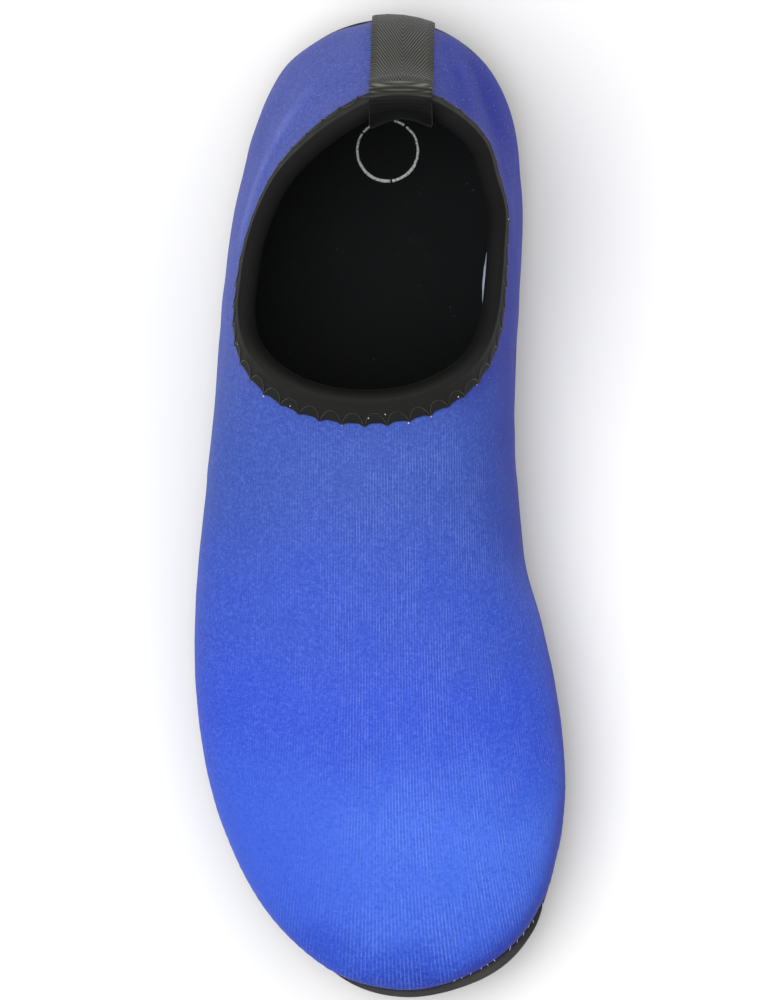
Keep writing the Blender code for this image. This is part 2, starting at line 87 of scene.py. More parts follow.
# How the surfaces are divided, as levels of face() and shares of the way along a piece
SPOKES = 448
SEARCH_UP = np.linspace(0, 1.6, 81)
SEARCH_DOWN = np.linspace(2, 0.6, 141)
TAPE_SHARES = np.linspace(-0.07, 0.07, 57)
TAPE_HEEL_ROWS = (0.06, 0.12, 0.2, 0.3, 0.42, 0.54, 0.66)
TAPE_BINDING_ROWS = (1.2, 0.9)
TAPE_INSIDE_ROWS = (0.15, 0.3, 0.5, 0.75, 1.0)
LOOP_TURNS = (0, 25, 50, 70, 90, 110, 130, 155, 180)
NUDGE = 0.001

# How the upper's rows close up towards the collar. half is the reach at which half of it acts.
SPREAD = {"start": 1.8, "close": 1.7, "half": 0.012}


def table(names, *rows):
    """A table's columns by name, from its rows."""
    return dict(zip(names.split(), np.array(rows, dtype=float).T))


# Sections of the last from heel to toe. at is a share of LENGTH. lateral, medial, ridge and the
# tucks under the bulge are shares of BALL_WIDTH, bulge is a share of HEEL_HEIGHT and crown of
# INSTEP_HEIGHT, both above the sole's floor. fullness is the exponent of the section's arch.
LAST = table(
    "at     lateral medial tuck_out tuck_in bulge crown ridge fullness",
    (0.020, -0.130, 0.173, 0.080, 0.080, 0.260, 0.970, 0.045, 1.6),
    (0.051, -0.243, 0.282, 0.082, 0.082, 0.260, 0.980, 0.042, 1.6),
    (0.100, -0.319, 0.351, 0.083, 0.085, 0.260, 1.015, 0.030, 1.6),
    (0.179, -0.383, 0.382, 0.083, 0.090, 0.265, 1.005, 0.010, 1.7),
    (0.281, -0.419, 0.373, 0.088, 0.105, 0.280, 1.110, 0.000, 2.2),
    (0.382, -0.441, 0.363, 0.090, 0.130, 0.290, 0.930, 0.000, 2.4),
    (0.464, -0.463, 0.365, 0.090, 0.135, 0.285, 0.850, 0.015, 2.3),
    (0.545, -0.486, 0.390, 0.088, 0.120, 0.260, 0.790, 0.020, 2.2),
    (0.647, -0.502, 0.456, 0.085, 0.095, 0.235, 0.710, 0.050, 2.2),
    (0.728, -0.486, 0.490, 0.083, 0.083, 0.225, 0.650, 0.080, 2.3),
    (0.789, -0.456, 0.502, 0.083, 0.083, 0.220, 0.600, 0.100, 2.4),
    (0.851, -0.400, 0.483, 0.083, 0.083, 0.215, 0.540, 0.110, 2.5),
    (0.905, -0.321, 0.438, 0.083, 0.083, 0.210, 0.475, 0.115, 2.5),
    (0.954, -0.196, 0.336, 0.083, 0.083, 0.205, 0.420, 0.100, 2.4),
    (0.978, -0.099, 0.231, 0.083, 0.083, 0.205, 0.400, 0.080, 2.4),
)
HEEL_TIP = {"at": 0.007, "across": 0.029}
TOE_TIP = {"at": 0.992, "across": 0.088}
HEEL_ROUND = {"reach": 0.157, "power": 1.7}
TOE_ROUND = {"reach": 0.140, "power": 2.3}

# The upper's edge at the collar, in the same shares. height is a share of HEEL_HEIGHT.
COLLAR = table(
    "at     lateral medial height_out height_in",
    (0.1145, -0.092, 0.215, 0.975, 0.975),
    (0.141, -0.188, 0.280, 0.940, 0.945),
    (0.169, -0.259, 0.303, 0.900, 0.910),
    (0.204, -0.310, 0.328, 0.850, 0.870),
    (0.239, -0.341, 0.325, 0.815, 0.840),
    (0.275, -0.357, 0.318, 0.800, 0.825),
    (0.306, -0.363, 0.308, 0.800, 0.830),
    (0.337, -0.346, 0.284, 0.830, 0.860),
    (0.361, -0.297, 0.238, 0.870, 0.895),
    (0.380, -0.220, 0.157, 0.910, 0.925),
)
COLLAR_HEEL = {"at": 0.092, "across": 0.0625, "height": 1.0}
COLLAR_FRONT = {"at": 0.3945, "across": -0.031, "height": 0.945}
TAPE_MIDDLE = COLLAR_HEEL["across"] * BALL_WIDTH

# Which share of the collar each share of the bulge line faces, from heel to toe on either side
FAN = table(
    "bulge collar",
    (0.00, 0.00),
    (0.14, 0.21),
    (0.28, 0.42),
    (0.42, 0.66),
    (0.60, 0.80),
    (1.00, 1.00),
)

# The sole from heel to toe. rise is a share of TOE_SPRING, the lips are shares of SIDE_WALL above
# the floor, and the flares, by which the wall stands out further, are shares of LIP.
SOLE = table(
    "at    rise  lip_out lip_in flare_out flare_in",
    (0.000, 0.18, 0.50, 0.50, 0.00, 0.00),
    (0.045, 0.00, 0.44, 0.42, 0.00, 0.00),
    (0.180, 0.00, 0.40, 0.36, 0.00, 0.00),
    (0.300, 0.00, 0.30, 0.38, 0.00, 0.00),
    (0.400, 0.17, 0.24, 0.36, 0.00, 0.00),
    (0.500, 0.17, 0.20, 0.28, 0.00, 0.00),
    (0.600, 0.00, 0.20, 0.22, 0.00, 0.00),
    (0.780, 0.00, 0.20, 0.22, 0.00, 0.00),
    (0.860, 0.16, 0.20, 0.25, 0.00, 0.00),
    (0.900, 0.36, 0.20, 0.32, 0.00, 0.00),
    (0.930, 0.54, 0.21, 0.56, 0.00, 0.40),
    (0.970, 0.80, 0.28, 0.68, 0.00, 1.10),
    (1.000, 1.00, 0.62, 0.62, 0.40, 0.40),
)

# The sole's side from lip to ground edge. down is a share of the way, proud a share of BEAD.
SOLE_SIDE = table(
    "down  proud",
    (0.00, 0.0),
    (0.06, 0.4),
    (0.22, 0.4),
    (0.28, 0.0),
    (0.56, 0.0),
    (0.62, 0.8),
    (0.90, 1.0),
    (1.00, 0.3),
)

# How quickly the sole's side columns change over at heel and toe
SIDE_CHANGE = 4

# The first and last bars of tread, as shares of LENGTH
TREAD_HEEL = (0.055, 0.285)
TREAD_BALL = (0.575, 0.935)


def bend(low, high, turn_in, turn_out, part):
    """A smooth way from low to high, with a slope at either end."""
    straight = low + (high - low) * part**2 * (3 - 2 * part)
    return straight + turn_in * part * (1 - part) ** 2 - turn_out * part**2 * (1 - part)


def follow(rows, name, at):
    """A table's column at a share of the length, on a smooth curve that never overshoots a row."""
    knots = rows["at"] if "at" in rows else rows["bulge"]
    values = rows[name]
    width = np.diff(knots)
    steep = np.diff(values) / width
    slope = np.zeros(len(knots))
    slope[0], slope[-1] = steep[0], steep[-1]
    before, after = steep[:-1], steep[1:]
    near, far = 2 * width[1:] + width[:-1], width[1:] + 2 * width[:-1]
    turning = before * after <= 0
    safe_before, safe_after = np.where(turning, 1, before), np.where(turning, 1, after)
    mean = (near + far) / (near / safe_before + far / safe_after)
    slope[1:-1] = np.where(turning, 0, mean)
    at = np.clip(at, knots[0], knots[-1])
    row = np.clip(np.searchsorted(knots, at) - 1, 0, len(knots) - 2)
    part = (at - knots[row]) / width[row]
    return bend(values[row], values[row + 1], slope[row] * width[row], slope[row + 1] * width[row], part)


def closed_curve(points, far):
    """A smooth closed curve through points. Its share is 0 at the first and 0.5 at point far."""
    points = np.array(points)
    ahead = np.roll(points, -1, axis=0) - points
    width = np.linalg.norm(ahead[:, :2], axis=1)
    width = width * 0.5 / np.where(np.arange(len(points)) < far, width[:far].sum(), width[far:].sum())
    knots = np.concatenate([[0], np.cumsum(width)])
    steep = ahead / width[:, None]
    back, last = np.roll(steep, 1, axis=0), np.roll(width, 1)[:, None]
    here = width[:, None]
    slope = (here * back + last * steep) / (here + last)

    def at(share):
        share = np.mod(share, 1.0)
        row = np.clip(np.searchsorted(knots, share, side="right") - 1, 0, len(points) - 1)
        ahead_row = (row + 1) % len(points)
        part = ((share - knots[row]) / width[row])[..., None]
        span = width[row][..., None]
        return bend(points[row], points[ahead_row], slope[row] * span, slope[ahead_row] * span, part)

    return at


def outline(rows, heel, toe, columns):
    """The closed curve of a table, from the heel up the medial side and back down the lateral."""
    ends = [(end["across"] * BALL_WIDTH, end["at"] * LENGTH, *columns(end)) for end in (heel, toe)]
    sides = []
    for side in ("medial", "lateral"):
        across, along = rows[side] * BALL_WIDTH, rows["at"] * LENGTH
        sides.append(list(zip(across, along, *columns(side))))
    points = [ends[0], *sides[0], ends[1], *reversed(sides[1])]
    return closed_curve(points, len(sides[0]) + 1)


def collar_heights(place):
    """The collar's height column for one side, or its height at one end."""
    if isinstance(place, dict):
        return (place["height"] * HEEL_HEIGHT,)
    return (COLLAR["height_in" if place == "medial" else "height_out"] * HEEL_HEIGHT,)


bulge_line = outline(LAST, HEEL_TIP, TOE_TIP, lambda place: ())
collar_line = outline(COLLAR, COLLAR_HEEL, COLLAR_FRONT, collar_heights)

# The bulge line's lateral and medial x at each distance from the heel
FINE = np.linspace(0, 0.5, 4001)
MEDIAL_SIDE = bulge_line(FINE)
LATERAL_SIDE = bulge_line(1 - FINE)


def floor_height(along):
    """The height of the sole's floor under the foot."""
    return LUG_HEIGHT + PLATE + TOE_SPRING * follow(SOLE, "rise", along / LENGTH)


def bulge_height(along):
    """The height of the bulge line."""
    return floor_height(along) + GAP + HEEL_HEIGHT * follow(LAST, "bulge", along / LENGTH)


def sides_at(along):
    """The x of the ridge, and of the bulge line on the medial and the lateral side."""
    both = [np.interp(along, side[:, 1], side[:, 0]) for side in (MEDIAL_SIDE, LATERAL_SIDE)]
    return BALL_WIDTH * follow(LAST, "ridge", along / LENGTH), *both


def crown_height(across, along):
    """The height of the last's own face over a point in plan, without the collar's stand."""
    share = along / LENGTH
    low = bulge_height(along)
    high = floor_height(along) + GAP + INSTEP_HEIGHT * follow(LAST, "crown", share)
    for end, tip, sign in ((HEEL_ROUND, HEEL_TIP, 1), (TOE_ROUND, TOE_TIP, -1)):
        inside = np.clip(sign * (share - tip["at"]) / end["reach"], 0, 1)
        high = low + (high - low) * (1 - (1 - inside) ** end["power"]) ** (1 / end["power"])
    ridge, medial, lateral = sides_at(along)
    side = np.where(across > ridge, medial, lateral) - ridge
    part = np.clip((across - ridge) / np.where(np.abs(side) < 1e-6, 1e-6, side), 0, 1)
    fullness = follow(LAST, "fullness", share)
    return low + (high - low) * (1 - part**fullness) ** (1 / fullness)


def unit(vectors):
    """The same directions with a length of 1."""
    return vectors / np.linalg.norm(vectors, axis=-1, keepdims=True)


def plan_out(share):
    """The direction away from the foot, in plan, on the bulge line."""
    ahead = unit(bulge_line(share + 1e-4) - bulge_line(share - 1e-4))
    return np.stack([ahead[..., 1], -ahead[..., 0]], axis=-1)


def tuck(share, along):
    """How far the feather line lies inside the bulge line."""
    both = follow(LAST, "tuck_in", along / LENGTH), follow(LAST, "tuck_out", along / LENGTH)
    lean = 0.5 + 0.5 * np.sin(2 * math.pi * share)
    return BALL_WIDTH * (both[0] * lean + both[1] * (1 - lean))


def face(share, level):
    """Points on the upper's outer face, as (across, along, up). share goes round the shoe from
    the heel by the medial side. level is -1 at the margin's edge, 0 at the feather line, 1 at
    the bulge and 2 at the collar."""
    share, level = np.broadcast_arrays(np.mod(share, 1.0), np.asarray(level, dtype=float))
    rim = bulge_line(share)
    inward = tuck(share, rim[..., 1])
    turn = np.clip(level, 0, 1) * math.pi / 2
    inset = inward * (1 - np.sin(turn)) + MARGIN * np.clip(-level, 0, 1)
    low = rim - plan_out(share) * inset[..., None]
    bulge = HEEL_HEIGHT * follow(LAST, "bulge", rim[..., 1] / LENGTH)
    low_up = floor_height(low[..., 1]) + GAP + bulge * (1 - np.cos(turn))

    half = np.where(share > 0.5, 1 - share, share) * 2
    facing = follow(FAN, "collar", half) / 2
    edge = collar_line(np.where(share > 0.5, 1 - facing, facing))
    part = np.clip(level - 1, 0, 1)
    spoke = edge[..., :2] - rim
    reach = np.linalg.norm(spoke, axis=-1)
    close = SPREAD["close"] * reach / (reach + SPREAD["half"])
    high = rim + spoke * (part ** SPREAD["start"] * (1 + close * (1 - part)))[..., None]
    edge_up = floor_height(edge[..., 1]) + GAP + edge[..., 2]
    short = edge_up - crown_height(edge[..., 0], edge[..., 1])
    away = np.linalg.norm(edge[..., :2] - high, axis=-1) / COLLAR_REACH
    stand = part**2 * np.clip(1 - away, 0, 1) ** 2
    high_up = crown_height(high[..., 0], high[..., 1]) + short * stand
    below = level <= 1
    plan = np.where(below[..., None], low, high)
    up = np.where(below, low_up, high_up)
    return np.concatenate([plan, up[..., None]], axis=-1)


def shell(share, level, out):
    """Points that lie out from the upper's outer face, or inside it where out is negative."""
    share, level = np.broadcast_arrays(np.asarray(share, dtype=float), np.asarray(level, dtype=float))
    step = 2e-3
    lower, upper = np.clip(level - step, -1, 2), np.clip(level + step, -1, 2)
    climb = face(share, upper) - face(share, lower)
    round_way = face(share + step, level) - face(share - step, level)
    return face(share, level) + unit(np.cross(round_way, climb)) * np.asarray(out)[..., None]


def level_at_height(share, height, out):
    """The level at which a face lying out from the upper is at a height over the floor."""
    points = shell(share[:, None], SEARCH_UP[None, :], out)
    heights = points[..., 2] - floor_height(points[..., 1])
    height = np.broadcast_to(height, share.shape)
    return np.array([np.interp(h, row, SEARCH_UP) for h, row in zip(height, heights)])


def wall_at_height(share, height, out):
    """Points out from the upper's face, or inside it, at a height over the floor."""
    return shell(share, level_at_height(share, height, out), out)


def lengths_below_collar(share):
    """The way down the wall from the collar's edge to each level of SEARCH_DOWN."""
    points = face(share[:, None], SEARCH_DOWN[None, :])
    steps = np.linalg.norm(np.diff(points, axis=1), axis=-1)
    return np.concatenate([np.zeros((len(share), 1)), np.cumsum(steps, axis=1)], axis=1)


def level_below_collar(share, drop):
    """The level that lies a distance down the wall from the collar's edge."""
    return np.array([np.interp(drop, row, SEARCH_DOWN) for row in lengths_below_collar(share)])


def collar_wall(share, drop, out):
    """Points a distance down the wall from the collar's edge, and out from its outer face."""
    return shell(share, level_below_collar(share, drop), out)


def ways(points):
    """How far along a line of points each of them lies."""
    return np.concatenate([[0], np.cumsum(np.linalg.norm(np.diff(points, axis=0), axis=1))])


def to_world(points):
    """(across, along, up) to X, Y, Z, with the middle of the length at Y = 0."""
    return [(x, LENGTH / 2 - y, z) for x, y, z in np.asarray(points).reshape(-1, 3)]


SHARES = np.arange(SPOKES) / SPOKES


def band(rows, count, closed=False):
    """Faces between neighbouring rings of count points each, and from the last to the first."""
    faces = []
    for low in range(0, (rows if closed else rows - 1) * count, count):
        high = (low + count) % (rows * count)
        for i in range(count):
            j = (i + 1) % count
            faces.append((low + i, low + j, high + j, high + i))
    return faces


def grid_faces(rows, columns, first=0):
    """Faces between the rows of a grid of points."""
    for a in (first + r * columns + c for r in range(rows - 1) for c in range(columns - 1)):
        yield a, a + 1, a + columns + 1, a + columns


def flat_ends(rows):
    """Faces straight across the first and the last ring of a sole or insole."""
    faces = []
    for first in (0, (rows - 1) * SPOKES):
        for i in range(SPOKES // 2):
            corners = [i, i + 1, (SPOKES - i - 1) % SPOKES, (SPOKES - i) % SPOKES]
            faces.append(tuple(first + c for c in dict.fromkeys(corners)))
    return faces


def plan_offset(share, out):
    """A step away from the foot in plan."""
    flat = plan_out(share) * np.asarray(out)[..., None]
    return np.concatenate([flat, np.zeros((*flat.shape[:-1], 1))], axis=-1)


def feather_ring(out, up):
    """A ring in plan out from the feather line, and up from the floor."""
    ring = face(SHARES, 0.0) + plan_offset(SHARES, np.full(SPOKES, out))
    ring[:, 2] = floor_height(ring[:, 1]) + up
    return ring


def sole_side(column):
    """A column of the sole all round, from its lateral and medial values."""
    along = bulge_line(SHARES)[:, 1] / LENGTH
    lean = 0.5 + 0.5 * np.tanh(SIDE_CHANGE * np.sin(2 * math.pi * SHARES))
    return follow(SOLE, column + "_in", along) * lean + follow(SOLE, column + "_out", along) * (1 - lean)


def lip_level():
    """The level of the sole's lip on the upper, all round."""
    return level_at_height(SHARES, sole_side("lip") * SIDE_WALL, GAP)


def tape_row(out, drop=0.0, by_height=None):
    """A row of points across the tape, lying out from the upper's face at the heel: at a drop
    below the collar's edge, or at a height over the floor."""
    if by_height is None:
        points = collar_wall(TAPE_SHARES, drop, out)
    else:
        points = wall_at_height(TAPE_SHARES, by_height, out)
    across = TAPE_MIDDLE + TAPE_WIDTH * np.linspace(-0.5, 0.5, 5)
    order = np.argsort(points[:, 0])
    points = points[order]
    rest = [np.interp(across, points[:, 0], points[:, i]) for i in (1, 2)]
    return np.stack([across, *rest], axis=-1)


# Colours, as 0-255 display values
KNIT_TONES = (
    (0.00, (76, 87, 160)), (0.28, (72, 86, 162)), (0.47, (57, 83, 166)), (0.62, (54, 82, 188)),
    (0.72, (50, 80, 200)), (0.84, (65, 105, 219)), (0.91, (61, 100, 214)), (0.96, (45, 79, 192)),
    (1.00, (34, 62, 168)),
)
MM = 0.001
WALE = 0.72 * MM


def tone(red, green, blue):
    """A display colour as the linear colour that shaders take."""
    shares = [c / 255 for c in (red, green, blue)]
    linear = [c / 12.92 if c <= 0.04045 else ((c + 0.055) / 1.055) ** 2.4 for c in shares]
    return (*linear, 1.0)


def smooth(low, high, value):
    """0 below low, 1 above high, and a soft step between them."""
    part = np.clip((value - low) / (high - low), 0, 1)
    return part**2 * (3 - 2 * part)


def hill(value, width):
    return np.exp(-((value / width) ** 2))


def refine(points, count):
    """More rows on a smooth curve through the given ones, evenly spaced along it."""
    middle = points[:, points.shape[1] // 2]
    width = np.linalg.norm(np.diff(middle, axis=0), axis=1)
    knots = ways(middle)
    steep = np.diff(points, axis=0) / width[:, None, None]
    before, after = width[:-1, None, None], width[1:, None, None]
    inner = (after * steep[:-1] + before * steep[1:]) / (before + after)
    slope = np.concatenate([steep[:1], inner, steep[-1:]])
    at = np.linspace(0, knots[-1], count)
    row = np.clip(np.searchsorted(knots, at) - 1, 0, len(width) - 1)
    part = ((at - knots[row]) / width[row])[:, None, None]
    span = width[row][:, None, None]
    return bend(points[row], points[row + 1], slope[row] * span, slope[row + 1] * span, part), at


def mesh_object(name, verts, faces, materials, slot, node=None, sharp=40, turn=True):
    """A piece of the shoe at the origin, riding on the root body."""
    mesh = bpy.data.meshes.new(name)
    mesh.from_pydata([tuple(map(float, v)) for v in verts], [], faces)
    if turn:
        bm = bmesh.new()
        bm.from_mesh(mesh)
        bmesh.ops.recalc_face_normals(bm, faces=bm.faces)
        bm.to_mesh(mesh)
        bm.free()
    obj = bpy.data.objects.new(name, mesh)
    bpy.context.scene.collection.objects.link(obj)
    for mat in materials:
        mesh.materials.append(mat)
    mesh.shade_smooth()
    mesh.set_sharp_from_angle(angle=math.radians(sharp))
    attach(obj, "root")
    if node:
        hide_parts(node)
    return obj


def second_material(obj, first, last):
    """Gives the faces from first up to last the second material."""
    index = np.zeros(len(obj.data.polygons), dtype=np.int32)
    index[first:last] = 1
    obj.data.polygons.foreach_set("material_index", index)


def store(obj, name, values):
    """Keeps three numbers a point for the materials."""
    attribute = obj.data.attributes.new(name, "FLOAT_VECTOR", "POINT")
    attribute.data.foreach_set("vector", np.asarray(values, dtype=np.float32).ravel())


class Shader:
    """A material's node tree, written as sums."""

    def __init__(self, name, roughness=0.6, sheen=0.0, sheen_roughness=0.4, specular=0.5, tint=None):
        self.mat = bpy.data.materials.new(name)
        self.mat.use_nodes = True
        self.tree = self.mat.node_tree
        self.out = self.tree.nodes["Principled BSDF"]
        self.vector = self.node("ShaderNodeTexCoord", {}).outputs["Object"]
        self.feed(self.out, {"Roughness": roughness, "Sheen Weight": sheen, "Sheen Tint": tint,
                             "Sheen Roughness": sheen_roughness, "Specular IOR Level": specular})

    def feed(self, node, inputs):
        """Links a node's inputs or sets them, and leaves those given as None."""
        for key, value in inputs.items():
            if isinstance(value, bpy.types.NodeSocket):
                self.tree.links.new(value, node.inputs[key])
            elif value is not None:
                node.inputs[key].default_value = value

    def node(self, kind, inputs, **settings):
        made = self.tree.nodes.new(kind)
        for key, value in settings.items():
            setattr(made, key, value)
        self.feed(made, inputs)
        return made

    def math(self, operation, a, b=0.0, c=0.0):
        return self.node("ShaderNodeMath", {0: a, 1: b, 2: c}, operation=operation).outputs[0]

    def times(self, a, b):
        return self.math("MULTIPLY", a, b)

    def line(self, value, slope, start):
        return self.math("MULTIPLY_ADD", value, slope, start)

    def over(self, colour, share, amount, display):
        """A display colour laid over another by a share of the given amount."""
        return self.mix(self.times(share, amount), colour, tone(*display))

    def attribute(self, name):
        """The three stored numbers of an attribute."""
        vector = self.node("ShaderNodeAttribute", {}, attribute_name=name).outputs["Vector"]
        return self.node("ShaderNodeSeparateXYZ", {0: vector}).outputs

    def place(self):
        """The three object coordinates."""
        return self.node("ShaderNodeSeparateXYZ", {0: self.vector}).outputs

    def noise(self, size, detail=2.0, rough=0.5, stretch=None, vector=None):
        """Noise whose grains are about size metres across."""
        scale = (1 / size,) * 3 if stretch is None else tuple(1 / (size * s) for s in stretch)
        moved = self.node("ShaderNodeVectorMath", {0: vector or self.vector, 1: scale},
                          operation="MULTIPLY").outputs[0]
        return self.node(
            "ShaderNodeTexNoise", {"Vector": moved, "Scale": 1.0, "Detail": detail, "Roughness": rough}
        ).outputs["Fac"]

    def wave(self, value, pitch):
        """A sine between 0 and 1 with a pitch in the value's own unit."""
        turn = self.math("MULTIPLY", value, 2 * math.pi / pitch)
        return self.math("MULTIPLY_ADD", self.math("SINE", turn), 0.5, 0.5)

    def step(self, value, low, high):
        return self.node(
            "ShaderNodeMapRange", {"Value": value, "From Min": low, "From Max": high},
            interpolation_type="SMOOTHSTEP",
        ).outputs[0]

    def mix(self, share, a, b):
        inputs = {0: share, 6: a, 7: b}
        return self.node("ShaderNodeMix", inputs, data_type="RGBA", clamp_factor=True).outputs[2]

    def ramp(self, value, stops):
        made = self.node("ShaderNodeValToRGB", {0: value})
        made.color_ramp.interpolation = "EASE"
        elements = made.color_ramp.elements
        while len(elements) < len(stops):
            elements.new(0.5)
        for element, (at, colour) in zip(elements, stops):
            element.position, element.color = at, tone(*colour)
        return made.outputs[0]

    def bump(self, height, distance, normal=None, strength=1.0):
        inputs = {"Height": height, "Distance": distance, "Strength": strength, "Normal": normal}
        return self.node("ShaderNodeBump", inputs).outputs[0]

    def finish(self, colour=None, roughness=None, normal=None):
        self.feed(self.out, {"Base Color": colour, "Roughness": roughness, "Normal": normal})
        return self.mat


def knit_material():
    """Stretch knit: lengthwise wales of small loops with a painted highlight bloom, painted highlight and
    shade on creases, painted shade on steep walls, and stray light fibres.
    """
    s = Shader("knit_outer", 0.5, sheen=0.05, sheen_roughness=0.3, specular=0.12, tint=tone(120, 140, 255))
    x, y, _ = s.place()
    wale, course, highlight_bloom = s.attribute("fabric")
    crease, steep, _ = s.attribute("form")
    ridge = s.wave(wale, WALE)
    loops = s.wave(s.line(ridge, 0.25 * MM, course), 0.62 * MM)
    fine = s.noise(0.42 * MM, 4.0, 0.7)
    nap = s.noise(0.95 * MM, 3.0, 0.65)
    broad = s.noise(26 * MM, 2.0)
    patch = s.noise(7 * MM, 4.0, 0.6, (1, 2.4, 1))
    line = s.node("ShaderNodeCombineXYZ", {0: wale, 1: s.times(course, 0.12)}).outputs[0]
    single = s.noise(0.55 * MM, 1.0, 0.5, vector=line)
    # Painted highlight bloom: where wale crests are lightened and grooves darkened in colour
    strength = s.times(highlight_bloom, s.step(patch, 0.34, 0.60))
    strength = s.times(strength, s.step(single, 0.26, 0.62))
    along = s.line(y, -1 / LENGTH, 0.5)
    along = s.line(s.math("SUBTRACT", broad, 0.5), 0.10, along)
    colour = s.ramp(along, KNIT_TONES)
    # Painted shade in the grooves between wales, stronger in the highlight bloom
    painted_groove_shade = s.times(s.math("SUBTRACT", 0.55, ridge), s.line(strength, 0.40, 0.08))
    colour = s.mix(painted_groove_shade, colour, tone(28, 44, 150))
    # Painted highlight on the wale crests within the bloom
    painted_crest_highlight = s.times(s.step(ridge, 0.55, 1.0), s.times(strength, 0.30))
    colour = s.mix(painted_crest_highlight, colour, tone(140, 165, 248))
    colour = s.over(colour, s.step(fine, 0.50, 0.70), 0.30, (108, 132, 236))
    colour = s.over(colour, s.step(fine, 0.50, 0.30), 0.26, (30, 44, 136))
    colour = s.over(colour, s.step(nap, 0.50, 0.68), 0.22, (100, 126, 236))
    colour = s.over(colour, s.step(nap, 0.50, 0.32), 0.26, (34, 50, 150))
    # Painted highlight along crease ridges and painted shade in crease troughs
    colour = s.over(colour, s.step(crease, 0.25, 1.00), 0.26, (130, 140, 218))
    colour = s.over(colour, s.step(crease, -0.25, -1.10), 0.30, (46, 54, 130))
    # Painted shade on steep walls, deeper on the medial side
    colour = s.over(colour, s.step(steep, 0.32, 0.95), 0.80, (25, 34, 146))
    outer_toe = s.times(s.step(x, 0.004, -0.026), s.step(along, 0.72, 0.84))
    colour = s.over(colour, outer_toe, 0.45, (46, 74, 192))
    fleck = s.step(s.noise(0.55 * MM, 1.0, 0.4), 0.735, 0.80)
    heel = s.step(y, 0.02, 0.10)
    dust = s.times(s.step(s.noise(0.45 * MM, 2.0, 0.6), 0.58, 0.72), heel)
    colour = s.over(colour, dust, 0.34, (136, 146, 214))
    colour = s.over(colour, fleck, s.line(heel, 0.5, 0.22), (176, 188, 236))
    height = s.times(ridge, s.line(strength, 0.75, 0.25))
    height = s.line(loops, 0.22, height)
    normal = s.bump(height, 0.10 * MM, strength=0.75)
    normal = s.bump(fine, 0.08 * MM, normal, 0.6)
    rough = s.line(patch, 0.22, 0.46)
    return s.finish(colour, rough, normal)


def lining_material():
    s = Shader("knit_lining", 0.8, sheen=0.2, specular=0.3)
    wale, course, _ = s.attribute("fabric")
    weave = s.times(s.wave(wale, 0.9 * MM), s.wave(course, 0.7 * MM))
    soil = s.noise(14 * MM, 4.0, 0.6)
    colour = s.mix(weave, tone(158, 173, 193), tone(184, 197, 214))
    colour = s.mix(s.step(soil, 0.45, 0.75), colour, tone(124, 138, 160))
    return s.finish(colour, 0.82, s.bump(weave, 0.08 * MM, strength=0.35))


def rubber_material():
    s = Shader("sole_rubber", 0.55, specular=0.35)
    _, _, z = s.place()
    grain = s.noise(0.45 * MM, 3.0, 0.6)
    cloud = s.noise(12 * MM, 4.0, 0.6)
    colour = s.mix(s.step(cloud, 0.3, 0.75), tone(34, 34, 32), tone(50, 49, 45))
    dust = s.times(s.step(z, 2.6 * MM, 0.2 * MM), s.step(cloud, 0.42, 0.62))
    colour = s.over(colour, dust, 0.45, (92, 88, 80))
    scuff = s.step(s.noise(3.2 * MM, 5.0, 0.7, (1, 3, 1)), 0.64, 0.74)
    colour = s.over(colour, scuff, 0.20, (96, 94, 88))
    rough = s.line(grain, 0.25, 0.45)
    normal = s.bump(grain, 0.06 * MM, strength=0.7)
    return s.finish(colour, rough, normal)


def tread_material():
    """The sole's underside: the same rubber with fine moulded hatching."""
    s = Shader("sole_tread", 0.6, specular=0.4)
    x, y, _ = s.place()
    grain = s.noise(0.5 * MM, 3.0, 0.6)
    cloud = s.noise(16 * MM, 4.0, 0.6)
    first = s.wave(s.math("ADD", x, y), 1.7 * MM)
    second = s.wave(s.math("SUBTRACT", x, y), 1.7 * MM)
    hatch = s.math("MAXIMUM", s.step(first, 0.55, 0.8), s.step(second, 0.55, 0.8))
    colour = s.mix(s.step(cloud, 0.35, 0.7), tone(28, 28, 27), tone(52, 50, 46))
    colour = s.over(colour, hatch, 0.25, (60, 59, 56))
    normal = s.bump(hatch, 0.25 * MM, strength=0.8)
    normal = s.bump(grain, 0.06 * MM, normal, 0.6)
    return s.finish(colour, s.line(grain, 0.25, 0.5), normal)


